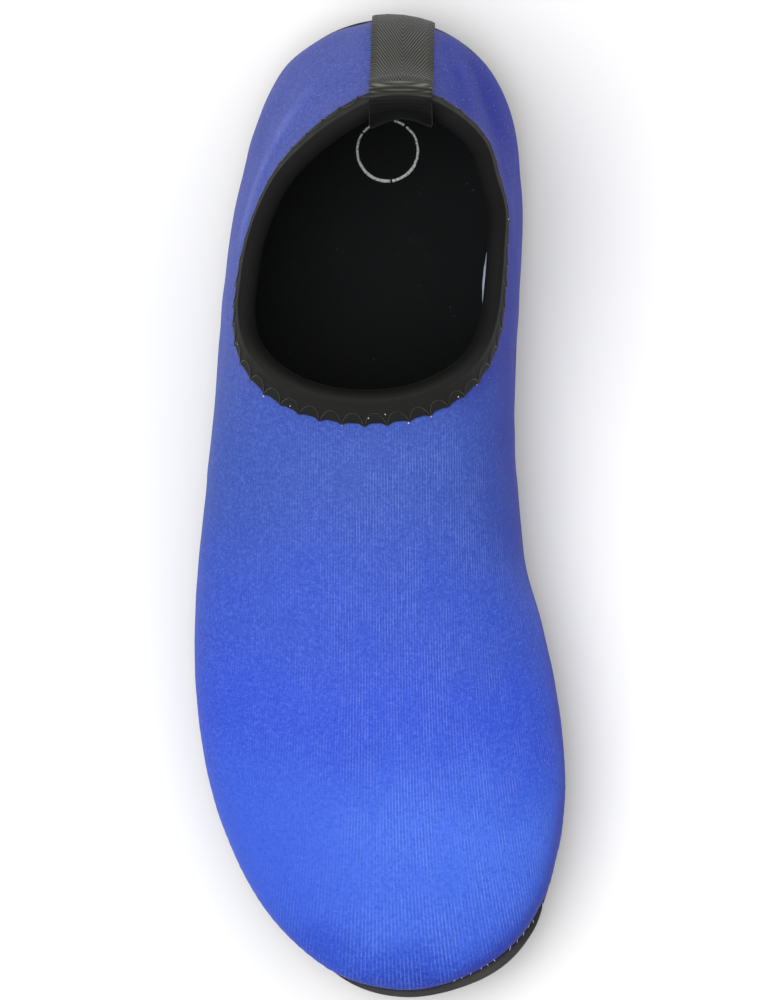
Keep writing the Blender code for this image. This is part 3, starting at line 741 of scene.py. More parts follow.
def insole_material():
    """Black cloth-faced foam with a plain broken ring printed at the heel."""
    s = Shader("insole_cloth", 0.85, sheen=0.05, specular=0.2)
    x, y, _ = s.place()
    weave = s.times(s.wave(x, 0.75 * MM), s.wave(y, 0.55 * MM))
    nap = s.noise(0.8 * MM, 4.0, 0.65)
    pill = s.noise(8 * MM, 4.0, 0.6)
    colour = s.mix(s.times(weave, nap), tone(6, 7, 8), tone(18, 19, 21))
    colour = s.over(colour, s.step(pill, 0.5, 0.8), 0.35, (16, 17, 17))
    fleck = s.step(s.noise(0.8 * MM, 0.0), 0.845, 0.87)
    colour = s.over(colour, fleck, 0.12, (120, 122, 118))
    dx = s.math("SUBTRACT", x, RING["across"])
    dy = s.math("SUBTRACT", y, LENGTH / 2 - RING["along"])
    radius = s.math("SQRT", s.math("ADD", s.times(dx, dx), s.times(dy, dy)))
    wobble = s.line(s.noise(2.2 * MM, 3.0, 0.6), 0.5 * MM, -0.25 * MM)
    away = s.math("ABSOLUTE", s.math("SUBTRACT", s.math("ADD", radius, wobble), RING["radius"]))
    heavy = s.step(dy, 0.5 * RING["radius"], -0.9 * RING["radius"])
    half = s.line(heavy, 0.10 * MM, 0.24 * MM)
    ink = s.math("SUBTRACT", 1.0, s.step(s.math("SUBTRACT", away, half), -0.10 * MM, 0.14 * MM))
    turn = s.math("ARCTAN2", dx, dy)
    for centre, reach in RING_BREAKS:
        gap = s.math("ABSOLUTE", s.math("SUBTRACT", turn, centre))
        ink = s.times(ink, s.step(gap, reach * 0.7, reach * 1.3))
    worn = s.line(s.step(s.noise(0.5 * MM, 2.0), 0.36, 0.52), 0.55, 0.45)
    colour = s.over(colour, ink, worn, (196, 197, 196))
    normal = s.bump(s.line(weave, 0.5, nap), 0.12 * MM, strength=0.6)
    return s.finish(colour, 0.9, normal)


def elastic_material():
    s = Shader("binding_elastic", 0.7, sheen=0.02, sheen_roughness=0.4, specular=0.08)
    _, y, _ = s.place()
    across, along, _ = s.attribute("fabric")
    rib = s.wave(across, 0.55 * MM)
    twill = s.wave(s.line(across, 0.8, along), 0.45 * MM)
    fine = s.noise(0.4 * MM, 3.0, 0.6)
    soft = s.noise(5 * MM, 3.0, 0.6)
    colour = s.mix(s.times(rib, twill), tone(25, 26, 24), tone(45, 46, 44))
    colour = s.over(colour, s.step(soft, 0.45, 0.75), 0.3, (36, 37, 30))
    fleck = s.step(s.noise(0.5 * MM, 1.0, 0.4), 0.74, 0.79)
    colour = s.over(colour, fleck, 0.3, (88, 84, 66))
    # Painted shade on the binding along the collar's sides, darker than its front
    painted_flank_shade = s.times(s.step(y, 0.034, 0.052), s.step(y, 0.108, 0.092))
    colour = s.over(colour, painted_flank_shade, 0.62, (13, 14, 13))
    # Painted shade over the fold and the inner leaf, towards the shoe's opening
    inner = s.step(across, -0.8 * MM, -4.0 * MM)
    colour = s.over(colour, inner, 0.85, (10, 11, 10))
    normal = s.bump(s.line(twill, 0.4, rib), 0.07 * MM, strength=0.6)
    return s.finish(colour, s.line(fine, 0.2, 0.52), s.bump(fine, 0.06 * MM, normal, 0.5))


def webbing_material():
    """Charcoal herringbone tape with a plain selvage at either edge."""
    s = Shader("loop_webbing", 0.65, sheen=0.03, sheen_roughness=0.35, specular=0.12)
    across, along, shade = s.attribute("fabric")
    side = s.math("ABSOLUTE", across)
    welt_highlight, shadow, fold = s.attribute("bands")
    bone = s.wave(s.line(side, 1.60, along), 1.06 * MM)
    rib = s.wave(along, 0.66 * MM)
    selvage = s.step(side, 6.2 * MM, 6.7 * MM)
    cross = s.step(shade, 0.2, 0.8)
    ribbed = s.math("MAXIMUM", s.math("MAXIMUM", selvage, cross), fold)
    weave = s.node("ShaderNodeMix", {0: ribbed, 2: bone, 3: rib}).outputs[0]
    fine = s.noise(0.35 * MM, 3.0, 0.6)
    # Painted shade on the inner leg, down inside the collar: both weave tones go near black
    light = s.mix(cross, tone(98, 100, 95), tone(13, 14, 14))
    dark = s.mix(cross, tone(25, 26, 22), tone(7, 7, 7))
    colour = s.mix(weave, dark, light)
    colour = s.over(colour, selvage, s.line(cross, -0.5, 0.5), (52, 52, 42))
    knots = s.times(s.step(side, 7.2 * MM, 7.5 * MM), s.step(s.wave(along, 1.1 * MM), 0.6, 0.9))
    colour = s.over(colour, knots, 0.6, (22, 22, 22))
    bare = s.math("SUBTRACT", 1.0, cross)
    moth = s.times(s.step(s.noise(4.5 * MM, 2.0), 0.52, 0.72), bare)
    colour = s.over(colour, moth, 0.4, (62, 64, 62))
    colour = s.over(colour, s.times(fold, 0.85), bare, (48, 49, 44))
    # Painted highlight on the fold's ribs and painted shade between them
    colour = s.over(colour, welt_highlight, 0.85, (122, 123, 116))
    colour = s.over(colour, shadow, 0.85, (20, 20, 18))
    # Deeper painted shade further down the inner leg
    colour = s.over(colour, s.step(shade, 1.0, 2.0), 0.9, (4, 5, 5))
    colour = s.over(colour, s.times(s.step(fine, 0.60, 0.8), 0.3), bare, (112, 112, 104))
    normal = s.bump(s.times(weave, s.line(cross, -0.8, 1.0)), 0.16 * MM, strength=0.8)
    return s.finish(colour, s.line(fine, 0.2, 0.45), s.bump(fine, 0.05 * MM, normal, 0.5))


def thread_material(name, low, high):
    s = Shader(name, 0.55, sheen=0.2, specular=0.4)
    ply = s.noise(0.3 * MM, 2.0, 0.6)
    worn = s.step(s.noise(4 * MM, 2.0), 0.38, 0.66)
    colour = s.mix(s.times(s.step(ply, 0.30, 0.60), worn), tone(*low), tone(*high))
    return s.finish(colour, 0.6, s.bump(ply, 0.05 * MM, strength=0.6))


# The camera looks straight down from over the middle of the pair, which is beside this shoe
CAMERA = {"away": 3.0, "beside": 0.0473, "along": 0.0014, "sharp_height": 0.02, "view_height": 0.2594}

# What is given one by one beside the shoe's own sizes, in the solids' shares and in metres
RING = {"across": 0.0017, "along": 0.0352, "radius": 0.0079}
RING_BREAKS = ((0.12, 0.10), (-0.42, 0.06), (3.02, 0.03), (0.62, 0.04), (-0.95, 0.03))
SCALLOP = 0.0050
SCALLOP_DEPTH = 0.0009
PUCKER = 0.00042
BINDING_DOTS = (  # share round the collar, drop below its edge and radius
    (0.497, 0.0050, 0.00022), (0.462, 0.0040, 0.0002), (0.30, 0.006, 0.0002),
    (0.78, 0.004, 0.0002), (0.13, 0.0045, 0.0002), (0.66, 0.006, 0.00016),
)
THREAD = 0.00012
ZIGZAG_REACH = 0.0037
FIBRES = {"from": 0.405, "to": 0.485, "pitch": 0.0040, "missing": 0.3, "level_reach": 0.020}
# The fold's ribs: distance before the top, half width and strength. The light ribs carry a painted highlight
# and the dark ones painted shade, over the ribs' own relief.
LIGHT_RIBS = ((0.0020, 0.00018, 1.0), (0.0014, 0.00018, 1.0), (0.0003, 0.00014, 0.5))
DARK_RIBS = ((0.0017, 0.00010, 0.6), (0.0008, 0.00030, 1.0), (-0.0001, 0.00022, 1.0))
RIB_HEIGHT = 0.00006
SELVAGE_DROP = 0.00018
TREAD_CHAMFER = 0.0005
TREAD_RIPPLE = {"height": 0.0007, "pitch": 0.0075}
WALL_WAVES = ((0.00022, 0.030, 0.075), (0.00006, 0.009, 0.018))
INSOLE_RINGS = (0.998, 0.990, 0.975, 0.94, 0.88, 0.80, 0.70, 0.60, 0.52)
SKY = 0.52
# name, power, size and place of each lamp
LAMPS = (("key", 18.0, 1.3, (-0.45, -0.10, 1.55)), ("fill", 6.0, 1.4, (0.4, 0.3, 1.6)))
LINING_FOLD = {"share": 0.167, "drop": 0.0090, "in": 0.0037, "long": 0.020, "tall": 0.0024}

# Creases: height and width in metres, then points as shares of BALL_WIDTH and LENGTH
CREASES = (
    (0.00085, 0.0020, ((0.180, 0.020), (0.205, 0.042), (0.236, 0.068), (0.252, 0.092), (0.268, 0.112),
                       (0.285, 0.130), (0.305, 0.160))),
    (-0.00080, 0.0030, ((0.215, 0.028), (0.262, 0.066), (0.290, 0.096), (0.312, 0.130), (0.335, 0.175))),
    (0.00035, 0.0009, ((0.338, 0.150), (0.349, 0.180), (0.354, 0.215), (0.358, 0.250))),
    (0.00045, 0.0022, ((-0.150, 0.070), (-0.208, 0.088), (-0.247, 0.112), (-0.282, 0.135))),
    (0.00060, 0.0010, ((-0.225, 0.100), (-0.262, 0.122), (-0.300, 0.150), (-0.335, 0.182), (-0.362, 0.218),
                       (-0.385, 0.262))),
    (-0.00045, 0.0030, ((-0.200, 0.066), (-0.300, 0.108), (-0.345, 0.145), (-0.392, 0.200))),
    (-0.00028, 0.0016, ((-0.10, 0.441), (0.05, 0.446), (0.20, 0.441), (0.27, 0.430))),
    (0.00024, 0.0018, ((-0.08, 0.455), (0.06, 0.461), (0.22, 0.455))),
    (-0.00020, 0.0016, ((0.02, 0.472), (0.12, 0.473), (0.25, 0.464))),
    (-0.00045, 0.0060, ((-0.30, 0.600), (-0.16, 0.640), (0.02, 0.655), (0.20, 0.640))),
    (0.00040, 0.0070, ((-0.28, 0.700), (-0.10, 0.720), (0.12, 0.725), (0.30, 0.700))),
    (-0.00040, 0.0050, ((0.44, 0.480), (0.40, 0.560), (0.36, 0.620))),
    (-0.00040, 0.0050, ((-0.47, 0.470), (-0.43, 0.540), (-0.38, 0.590))),
)


def crease_relief(base):
    """The listed troughs and ridges, each fading out at its ends."""
    flat = base[..., :2]
    total = np.zeros(base.shape[:-1])
    for height, width, points in CREASES:
        path = np.array(points) * (BALL_WIDTH, LENGTH)
        pieces = np.linalg.norm(np.diff(path, axis=0), axis=1)
        starts = ways(path)
        nearest = np.full(total.shape, 1.0)
        where = np.zeros(total.shape)
        for i, length in enumerate(pieces):
            way = (path[i + 1] - path[i]) / length
            part = np.clip((flat - path[i]) @ way, 0, length)
            away = np.linalg.norm(flat - path[i] - part[..., None] * way, axis=-1)
            closer = away < nearest
            nearest = np.where(closer, away, nearest)
            where = np.where(closer, (starts[i] + part) / starts[-1], where)
        fade = np.sin(np.pi * np.clip(where, 0.001, 0.999)) ** 0.7
        total += height * hill(nearest, width) * fade
    return total


def soft_waves(base, short, long, count):
    """A gentle uneven swell between -1 and 1, from a few waves in random directions."""
    total = np.zeros(base.shape[:-1])
    for _ in range(count):
        way = unit(rng.normal(size=3))
        total += np.sin(base @ way * 2 * math.pi / rng.uniform(short, long) + rng.uniform(0, 2 * math.pi))
    return total / math.sqrt(count)


def collar_arc(share):
    """How far round the collar's edge a share lies, and the whole way round."""
    fine = np.linspace(0, 1, 2049)
    way = ways(face(fine, 2.0))
    return np.interp(np.mod(share, 1.0), fine, way), way[-1]


COLLAR_ROUND = collar_arc(0.0)[1]
SCALLOPS = round(COLLAR_ROUND / SCALLOP)


def scallop_turn(share):
    """The turn of the scallops at a share: a whole turn a scallop, 0 at each cusp."""
    return collar_arc(share)[0] / COLLAR_ROUND * SCALLOPS * 2 * math.pi


def wale_place(base):
    """Where a point lies on the fabric: across the wales and along them, in metres."""
    across, along, up = base[..., 0], base[..., 1], base[..., 2]
    share = along / LENGTH
    ridge, medial, lateral = sides_at(along)
    low, high = bulge_height(along), crown_height(ridge, along)
    on_medial = across > ridge
    side = np.maximum(np.abs(np.where(on_medial, medial, lateral) - ridge), 1e-4)
    part = np.clip(np.abs(across - ridge) / side, 0, 1)
    fullness = 2.35
    angle = np.linspace(0, math.pi / 2, 65)
    profile = np.stack([np.sin(angle), np.cos(angle)], axis=-1) ** (2 / fullness)
    aspect = np.clip((high - low) / side, 0, 4)
    flat_part = np.clip(1 - np.clip(1 - part**fullness, 0, 1), 0, 1) ** (1 / fullness)
    tables = [ways(profile * (1, ratio)) for ratio in np.linspace(0, 4, 17)]
    columns = np.array([np.interp(np.linspace(0, 1, 201), profile[:, 0], row) for row in tables])
    row = np.clip(aspect / 4 * 16, 0, 15.999)
    column = flat_part * 200
    r0, c0 = row.astype(int), np.clip(column.astype(int), 0, 199)
    rf, cf = row - r0, column - c0
    arc = (
        columns[r0, c0] * (1 - rf) * (1 - cf) + columns[r0 + 1, c0] * rf * (1 - cf)
        + columns[r0, c0 + 1] * (1 - rf) * cf + columns[r0 + 1, c0 + 1] * rf * cf
    )
    below = np.where(part > 0.9, np.clip(low - up, 0, None), 0)
    excess = arc * side + below - np.abs(across - ridge)
    excess *= 1 - smooth(0.90, 0.99, share)
    excess *= smooth(0.01, 0.09, share)
    fan = np.exp(-(np.clip(along - 0.150, 0, None) / 0.165) ** 2)
    wale = np.where(on_medial, 1, -1) * (np.abs(across - ridge) + excess) * fan + ridge * fan
    return wale, along + (up * smooth(0.9, 1.0, share)) - up * (1 - smooth(0.0, 0.1, share))


def make_upper(outer_mat, lining_mat):
    levels = np.concatenate([np.linspace(-1, 0, 4)[:-1], np.linspace(0, 1, 22)[:-1], np.linspace(1, 2, 92)])
    base = face(SHARES[None, :], levels[:, None])
    steps = np.linalg.norm(np.diff(base, axis=0), axis=-1)
    drop = np.concatenate([np.cumsum(steps[::-1], axis=0)[::-1], np.zeros((1, SPOKES))])
    turn = scallop_turn(SHARES)[None, :]
    past_binding = drop - BINDING_OUTSIDE
    free = smooth(-0.0004, 0.0010, past_binding)
    lip = lip_level()[None, :]
    free = free * smooth(0.06, 0.30, levels[:, None] - lip)
    beside = smooth(0.0085, 0.0105, np.abs(base[..., 0] - TAPE_MIDDLE))
    free = free * np.where(base[..., 1] < 0.04, beside, 1)
    creases = crease_relief(base)
    relief = creases.copy()
    for height, short, long in WALL_WAVES:
        relief += height * soft_waves(base, short, long, 9)
    between = 0.5 - 0.5 * np.cos(turn)
    relief += PUCKER * between * np.exp(-np.clip(past_binding, 0, None) / 0.0022)
    toe = smooth(0.30, 0.42, SHARES) * (1 - smooth(0.58, 0.70, SHARES))
    gather = np.sin(SHARES * 2 * math.pi * 190) * toe
    relief += 0.00007 * gather[None, :] * hill(levels[:, None] - lip - 0.30, 0.35)
    outer = shell(SHARES[None, :], levels[:, None], relief * free)

    inner_levels = np.concatenate([np.linspace(2, 1, 40)[:-1], np.linspace(1, -1, 16)])
    inner_base = face(SHARES[None, :], inner_levels[:, None])
    inner_steps = np.linalg.norm(np.diff(inner_base, axis=0), axis=-1)
    inner_drop = np.concatenate([np.zeros((1, SPOKES)), np.cumsum(inner_steps, axis=0)])
    fold = LINING_FOLD
    away = np.minimum(np.abs(SHARES - fold["share"]), 1) * 0.64
    push = hill(away, fold["long"])[None, :] * hill(inner_drop - fold["drop"], fold["tall"]) * fold["in"]
    sag = 0.0005 * (soft_waves(inner_base, 0.02, 0.05, 8) - 1) * smooth(0.009, 0.016, inner_drop)
    low_fade = smooth(0.0, 0.5, inner_levels)[:, None]
    inward = UPPER_WALL + push - np.clip(sag, -0.001, 0) * low_fade
    inner = shell(SHARES[None, :], inner_levels[:, None], -inward)

    rows = len(levels) + len(inner_levels)
    verts = to_world(np.concatenate([outer, inner]))
    faces = band(rows, SPOKES, closed=True)
    obj = mesh_object("upper_knit", verts, faces, (outer_mat, lining_mat), "knit", "upper", sharp=60)
    second_material(obj, (len(levels) - 1) * SPOKES, (rows - 1) * SPOKES)
    whole = np.concatenate([base, inner_base])
    wale, course = wale_place(whole)
    across, along = whole[..., 0], whole[..., 1]
    # Painted highlight bloom over the middle of the forefoot and along the toe's edge, kept for the knit's
    # colour
    front = smooth(0.40, 0.47, along / LENGTH)
    centre = hill(across - 0.010 - 0.02 * smooth(0.7, 1.0, along / LENGTH), 0.030)
    edge = 0.8 * smooth(0.82, 0.95, along / LENGTH)
    highlight_bloom = np.clip(front * np.maximum(centre, edge) + 0.12, 0, 1)
    store(obj, "fabric", np.stack([wale, course, highlight_bloom], axis=-1))
    climb = np.gradient(base, axis=0)
    up_way = climb[..., 2] / np.maximum(np.linalg.norm(climb, axis=-1), 1e-7)
    steep = np.zeros(wale.shape)
    steep[: len(levels)] = np.abs(up_way)
    medial = smooth(0.0, 0.03, across)
    form = np.zeros((*wale.shape, 3))
    # How strongly each crease is painted: painted highlight on ridges, painted shade in troughs, only towards
    # the heel
    form[: len(levels), :, 0] = creases * free / 0.0006 * (1 - smooth(0.28, 0.34, base[..., 1] / LENGTH))
    # Painted shade by the wall's steepness, stronger on the medial side and at the waist
    waist = 1 + 0.3 * hill(along - 0.125, 0.045)
    form[..., 1] = steep * (0.42 + 0.58 * medial * waist)
    store(obj, "form", form)


def make_outsole(side_mat, tread_mat):
    lip = lip_level()
    thick = LIP * (1 + sole_side("flare"))
    inner = [shell(SHARES, lip * part, GAP) for part in np.linspace(0, 1, 8)]
    edge = feather_ring(EDGE_OUT, -PLATE)
    outer = []
    downs = np.unique(np.concatenate([np.linspace(0, 1, 29), SOLE_SIDE["down"]]))
    prouds = np.interp(downs, SOLE_SIDE["down"], SOLE_SIDE["proud"]) * BEAD
    for down, proud in zip(downs, prouds):
        wall = shell(SHARES, lip * (1 - down), GAP) + plan_offset(SHARES, thick)
        ring = wall * (1 - down**2) + edge * down**2
        outer.append(ring + plan_offset(SHARES, np.full(SPOKES, proud)))
    round_lip = (inner[-1] + outer[0]) / 2
    round_lip[:, 2] += 0.0002
    outer[-1][:, 2] += 0.0006
    under = feather_ring(EDGE_OUT - 0.0004, -PLATE)
    rings = [*inner, round_lip, *outer, under]
    verts = to_world(np.array(rings))
    faces = band(len(rings), SPOKES) + flat_ends(len(rings))
    side_faces = len(faces)
    bar_verts, bar_faces = tread_bars(len(verts))
    verts += bar_verts
    faces += bar_faces
    obj = mesh_object("outsole_rubber", verts, faces, (side_mat, tread_mat), "rubber", "outsole", sharp=35)
    second_material(obj, side_faces - SPOKES // 2, side_faces)


def tread_bars(first):
    """Wavy bars of tread with broken edges, ended on the sole's outline."""
    trim = feather_ring(EDGE_OUT - TREAD_INSET, 0.0)
    half = SPOKES // 2
    medial, lateral = trim[: half + 1], np.concatenate([trim[half:], trim[:1]])[::-1]
    chamfer = TREAD_CHAMFER
    columns = 60
    verts, faces = [], []
    for start, end in (TREAD_HEEL, TREAD_BALL):
        count = 1 + round((end - start) * LENGTH / LUG_PITCH)
        for middle in np.linspace(start * LENGTH, end * LENGTH, count):
            d = LUG_DEPTH / 2
            profile = ((-d, LUG_HEIGHT + LUG_BITE), (-d, chamfer), (-d + chamfer, 0.0),
                       (d - chamfer, 0.0), (d, chamfer), (d, LUG_HEIGHT + LUG_BITE))
            rows = []
            for offset, up in profile:
                at = middle + offset
                inset = chamfer if up == 0 else 0
                low = np.interp(at, lateral[:, 1], lateral[:, 0]) + inset
                high = np.interp(at, medial[:, 1], medial[:, 0]) - inset
                across = np.linspace(low, high, columns)
                zigzag = np.abs(np.mod(across / TREAD_RIPPLE["pitch"], 1) - 0.5) * 4 - 1
                ripple = TREAD_RIPPLE["height"] * zigzag
                ground = floor_height(np.full(columns, at)) - PLATE - LUG_HEIGHT
                rows.append(np.stack([across, at + ripple, ground + up], axis=-1))
            base = first + len(verts)
            for row in rows:
                verts += to_world(row)
            for r in range(6):
                for c in range(columns - 1):
                    a, b = base + r * columns + c, base + (r + 1) % 6 * columns + c
                    faces.append((a, a + 1, b + 1, b))
            faces.append(tuple(base + r * columns for r in range(6)))
            faces.append(tuple(base + r * columns + columns - 1 for r in range(6)))
    return verts, faces


def make_insole(mat):
    on_margin = UPPER_WALL + 2 * GAP
    inside = -(UPPER_WALL + INSOLE_CLEARANCE)
    rim = face(SHARES, -1.0) - plan_offset(SHARES, np.full(SPOKES, INSOLE_CLEARANCE))
    under, over = rim.copy(), rim.copy()
    under[:, 2] = floor_height(rim[:, 1]) + GAP
    over[:, 2] = floor_height(rim[:, 1]) + on_margin
    low = wall_at_height(SHARES, on_margin, inside)
    high = wall_at_height(SHARES, on_margin + INSOLE, inside)
    partner = np.roll(high[::-1], 1, axis=0)
    rings = [under, over, low, low * 0.3 + high * 0.7]
    for keep in INSOLE_RINGS:
        ring = high * keep + partner * (1 - keep)
        ring[:, 2] = floor_height(ring[:, 1]) + on_margin + INSOLE
        edge = 1 - (1 - keep) * 2
        ring[:, 2] += 0.0006 * smooth(0.55, 0.98, edge) - 0.0007 * smooth(0.985, 0.999, edge)
        rings.append(ring)
    verts = to_world(np.array(rings))
    faces = band(len(rings), SPOKES) + flat_ends(len(rings))
    obj = mesh_object("insole_cloth", verts, faces, (mat,), "foam", "insole", sharp=50)


STEPS_A_SCALLOP = 14


def even_shares(count):
    """Shares that lie evenly spaced round the collar's edge."""
    fine = np.linspace(0, 1, 4097)[:-1]
    way, whole = collar_arc(fine)
    return np.interp(np.arange(count) / count * whole, way, fine)


def make_binding(mat):
    """The folded elastic, with its outer edge pulled into scallops by the zigzag."""
    count = SCALLOPS * STEPS_A_SCALLOP
    shares = even_shares(count)
    turn = scallop_turn(shares)
    cusp = (0.5 + 0.5 * np.cos(turn)) ** 3.5
    depth = SCALLOP_DEPTH * (0.55 + 0.45 * hill(shares - 0.5, 0.17))
    depth = depth * (1 + 0.25 * np.sin(np.floor(turn / 2 / math.pi + 0.5) * 2.3))
    outside = BINDING_OUTSIDE + depth * (cusp - 0.25)
    inside = BINDING_INSIDE + 0.0002 * np.sin(turn * 0.5)
    far, near = GAP + BINDING, GAP
    middle = -UPPER_WALL / 2
    inner_far, inner_near = -(UPPER_WALL + far), -(UPPER_WALL + near)
    edge = shell(shares, 2.0, 0.0)
    up_way = unit(edge - shell(shares, level_below_collar(shares, NUDGE), 0.0))
    drops = np.linspace(0, 1, 9)[::-1]

    def wall(drop, out):
        levels = [np.interp(d, row, SEARCH_DOWN) for d, row in zip(np.broadcast_to(drop, count), lengths)]
        return shell(shares, np.array(levels), out)

    lengths = lengths_below_collar(shares)
    rings, across = [], []
    between = 1 - cusp
    for part in drops[:-1]:
        swell = 0.00018 * between * hill(part - 0.55, 0.28) - 0.00030 * smooth(0.86, 1.0, part)
        rings.append(wall(outside * part, far + swell))
        across.append(outside * part)
    for angle in np.linspace(0, math.pi, 9):
        out = middle + (far - middle) * math.cos(angle)
        rings.append(shell(shares, 2.0, out) + up_way * far * math.sin(angle) ** 0.85)
        across.append(np.full(count, -far * 1.5 * angle))
    for part in drops[::-1][1:]:
        rings.append(wall(inside * part, inner_far))
        across.append(-far * 5 - inside * part)
    for drop, out in ((inside, inner_near), (inside / 2, inner_near), (0.0, inner_near)):
        rings.append(wall(drop, out))
        across.append(np.zeros(count))
    for out in (inner_near, near):
        rings.append(shell(shares, 2.0, out) + up_way * near)
        across.append(np.zeros(count))
    for drop in (0.0, outside / 2, outside):
        rings.append(wall(drop, near))
        across.append(np.zeros(count))
    verts = to_world(np.array(rings))
    faces = band(len(rings), count, closed=True)
    obj = mesh_object("collar_binding_elastic", verts, faces, (mat,), "elastic", "collar_binding", sharp=50)
    arc = np.broadcast_to(collar_arc(shares)[0], (len(rings), count))
    store(obj, "fabric", np.stack([np.array(across), arc, arc * 0], axis=-1))
    return wall, shares, turn, outside


def tube(points, normals, radius, closed, sides=6):
    """Corners and faces of a thin thread along points; normals lie across it."""
    points, normals = np.asarray(points), np.asarray(normals)
    ahead = np.roll(points, -1, axis=0) - np.roll(points, 1, axis=0)
    if not closed:
        ahead[0], ahead[-1] = points[1] - points[0], points[-1] - points[-2]
    ahead = unit(ahead)
    side = unit(np.cross(ahead, normals))
    up = np.cross(side, ahead)
    angles = np.arange(sides) * 2 * math.pi / sides
    radius = np.broadcast_to(radius, len(points))[:, None, None]
    circle = side[:, None] * np.cos(angles)[None, :, None] + up[:, None] * np.sin(angles)[None, :, None]
    verts = (points[:, None] + circle * radius).reshape(-1, 3)
    rows = len(points)
    faces = band(rows, sides, closed)
    if not closed:
        faces += [tuple(range(sides)), tuple((rows - 1) * sides + c for c in range(sides))]
    return verts, faces


def join(parts):
    """One list of corners and faces from several."""
    verts, faces = [], []
    for part_verts, part_faces in parts:
        faces += [tuple(i + len(verts) for i in face_corners) for face_corners in part_faces]
        verts += list(part_verts)
    return verts, faces


def face_normals(drops, wall):
    """The way out of the upper at drops below the collar."""
    return unit(wall(drops, 0.001) - wall(drops, 0.0))


def make_stitches(wall, shares, turn, outside, thread, lint):
    """The zigzag round the binding, and the small light knots at its cusps."""
    rise = np.abs(np.sin(turn / 2)) ** 0.55
    drop = outside + 0.0001 - ZIGZAG_REACH * rise
    sink = 0.00004 + 0.00016 * rise
    path = wall(drop, GAP + BINDING + sink)
    way = face_normals(drop, wall)
    world, normals = np.array(to_world(path)), way * (1, -1, 1)
    verts, faces = tube(world, normals, THREAD, True)
    mesh_object("binding_zigzag", verts, faces, (thread,), "elastic", sharp=80)
    knots = []
    cusps = wall(outside + 0.00025, GAP + 0.0002)[::STEPS_A_SCALLOP]
    for centre in np.array(to_world(cusps)):
        if rng.random() < 0.72:
            size = rng.uniform(0.00012, 0.00027)
            lean = rng.normal(size=3) * 0.00025
            knots.append(blob(centre + lean, size))
    for share, drop_at, size in BINDING_DOTS:
        near = int(np.argmin(np.abs(shares - share)))
        centre = wall(np.full(len(shares), drop_at), GAP + BINDING + 0.00008)[near]
        knots.append(blob(np.array(to_world(centre))[0], size))
    mesh_object("binding_knots", *join(knots), (lint,), "elastic", sharp=80)


def blob(centre, size):
    """A small rough knot of fibre."""
    rings, around = 4, 6
    verts = [centre + (0, 0, size), centre - (0, 0, size)]
    for r in range(1, rings):
        tilt = math.pi * r / rings
        for c in range(around):
            turn = 2 * math.pi * c / around
            reach = size * rng.uniform(0.8, 1.25)
            flat = math.sin(tilt)
            step = np.array([flat * math.cos(turn), flat * math.sin(turn), math.cos(tilt)])
            verts.append(centre + step * reach)
    faces = []
    for c in range(around):
        d = (c + 1) % around
        faces.append((0, 2 + c, 2 + d))
        faces.append((1, 2 + (rings - 2) * around + d, 2 + (rings - 2) * around + c))
        for r in range(rings - 2):
            a, b = 2 + r * around, 2 + (r + 1) * around
            faces.append((a + c, b + c, b + d, a + d))
    return verts, faces


def spot(share, level, out):
    """One point out from the upper's face."""
    return shell(np.array([share]), np.array([level]), out)[0]


def make_toe_fibres(lint):
    """Short light fibres at the knit's widest line, over the sole's lip at the toe."""
    pieces = []
    lips = lip_level()
    for share in np.arange(FIBRES["from"], FIBRES["to"], FIBRES["pitch"]):
        share += rng.uniform(-0.0008, 0.0008)
        if rng.random() < FIBRES["missing"]:
            continue
        lip = np.interp(share, SHARES, lips)
        levels = np.linspace(lip, 1.3, 121)
        wall = face(np.full(121, share), levels)
        away = (spot(share, lip, 0.001) - wall[0])[:2]
        rim = levels[np.argmax(wall[:, :2] @ away)]
        start = spot(share, rim, rng.uniform(0.0001, 0.0005))
        end = spot(share + rng.uniform(-0.0018, 0.0004), rim + FIBRES["level_reach"], 0.00005)
        middle = (start + end) / 2 + rng.normal(size=3) * 0.00006
        points = np.array(to_world(np.array([start, middle, end])))
        pieces.append(tube(points, np.tile((0.0, 0.0, 1.0), (3, 1)), rng.uniform(0.00006, 0.00010), False, 5))
    mesh_object("toe_fibres", *join(pieces), (lint,), "knit", sharp=80)


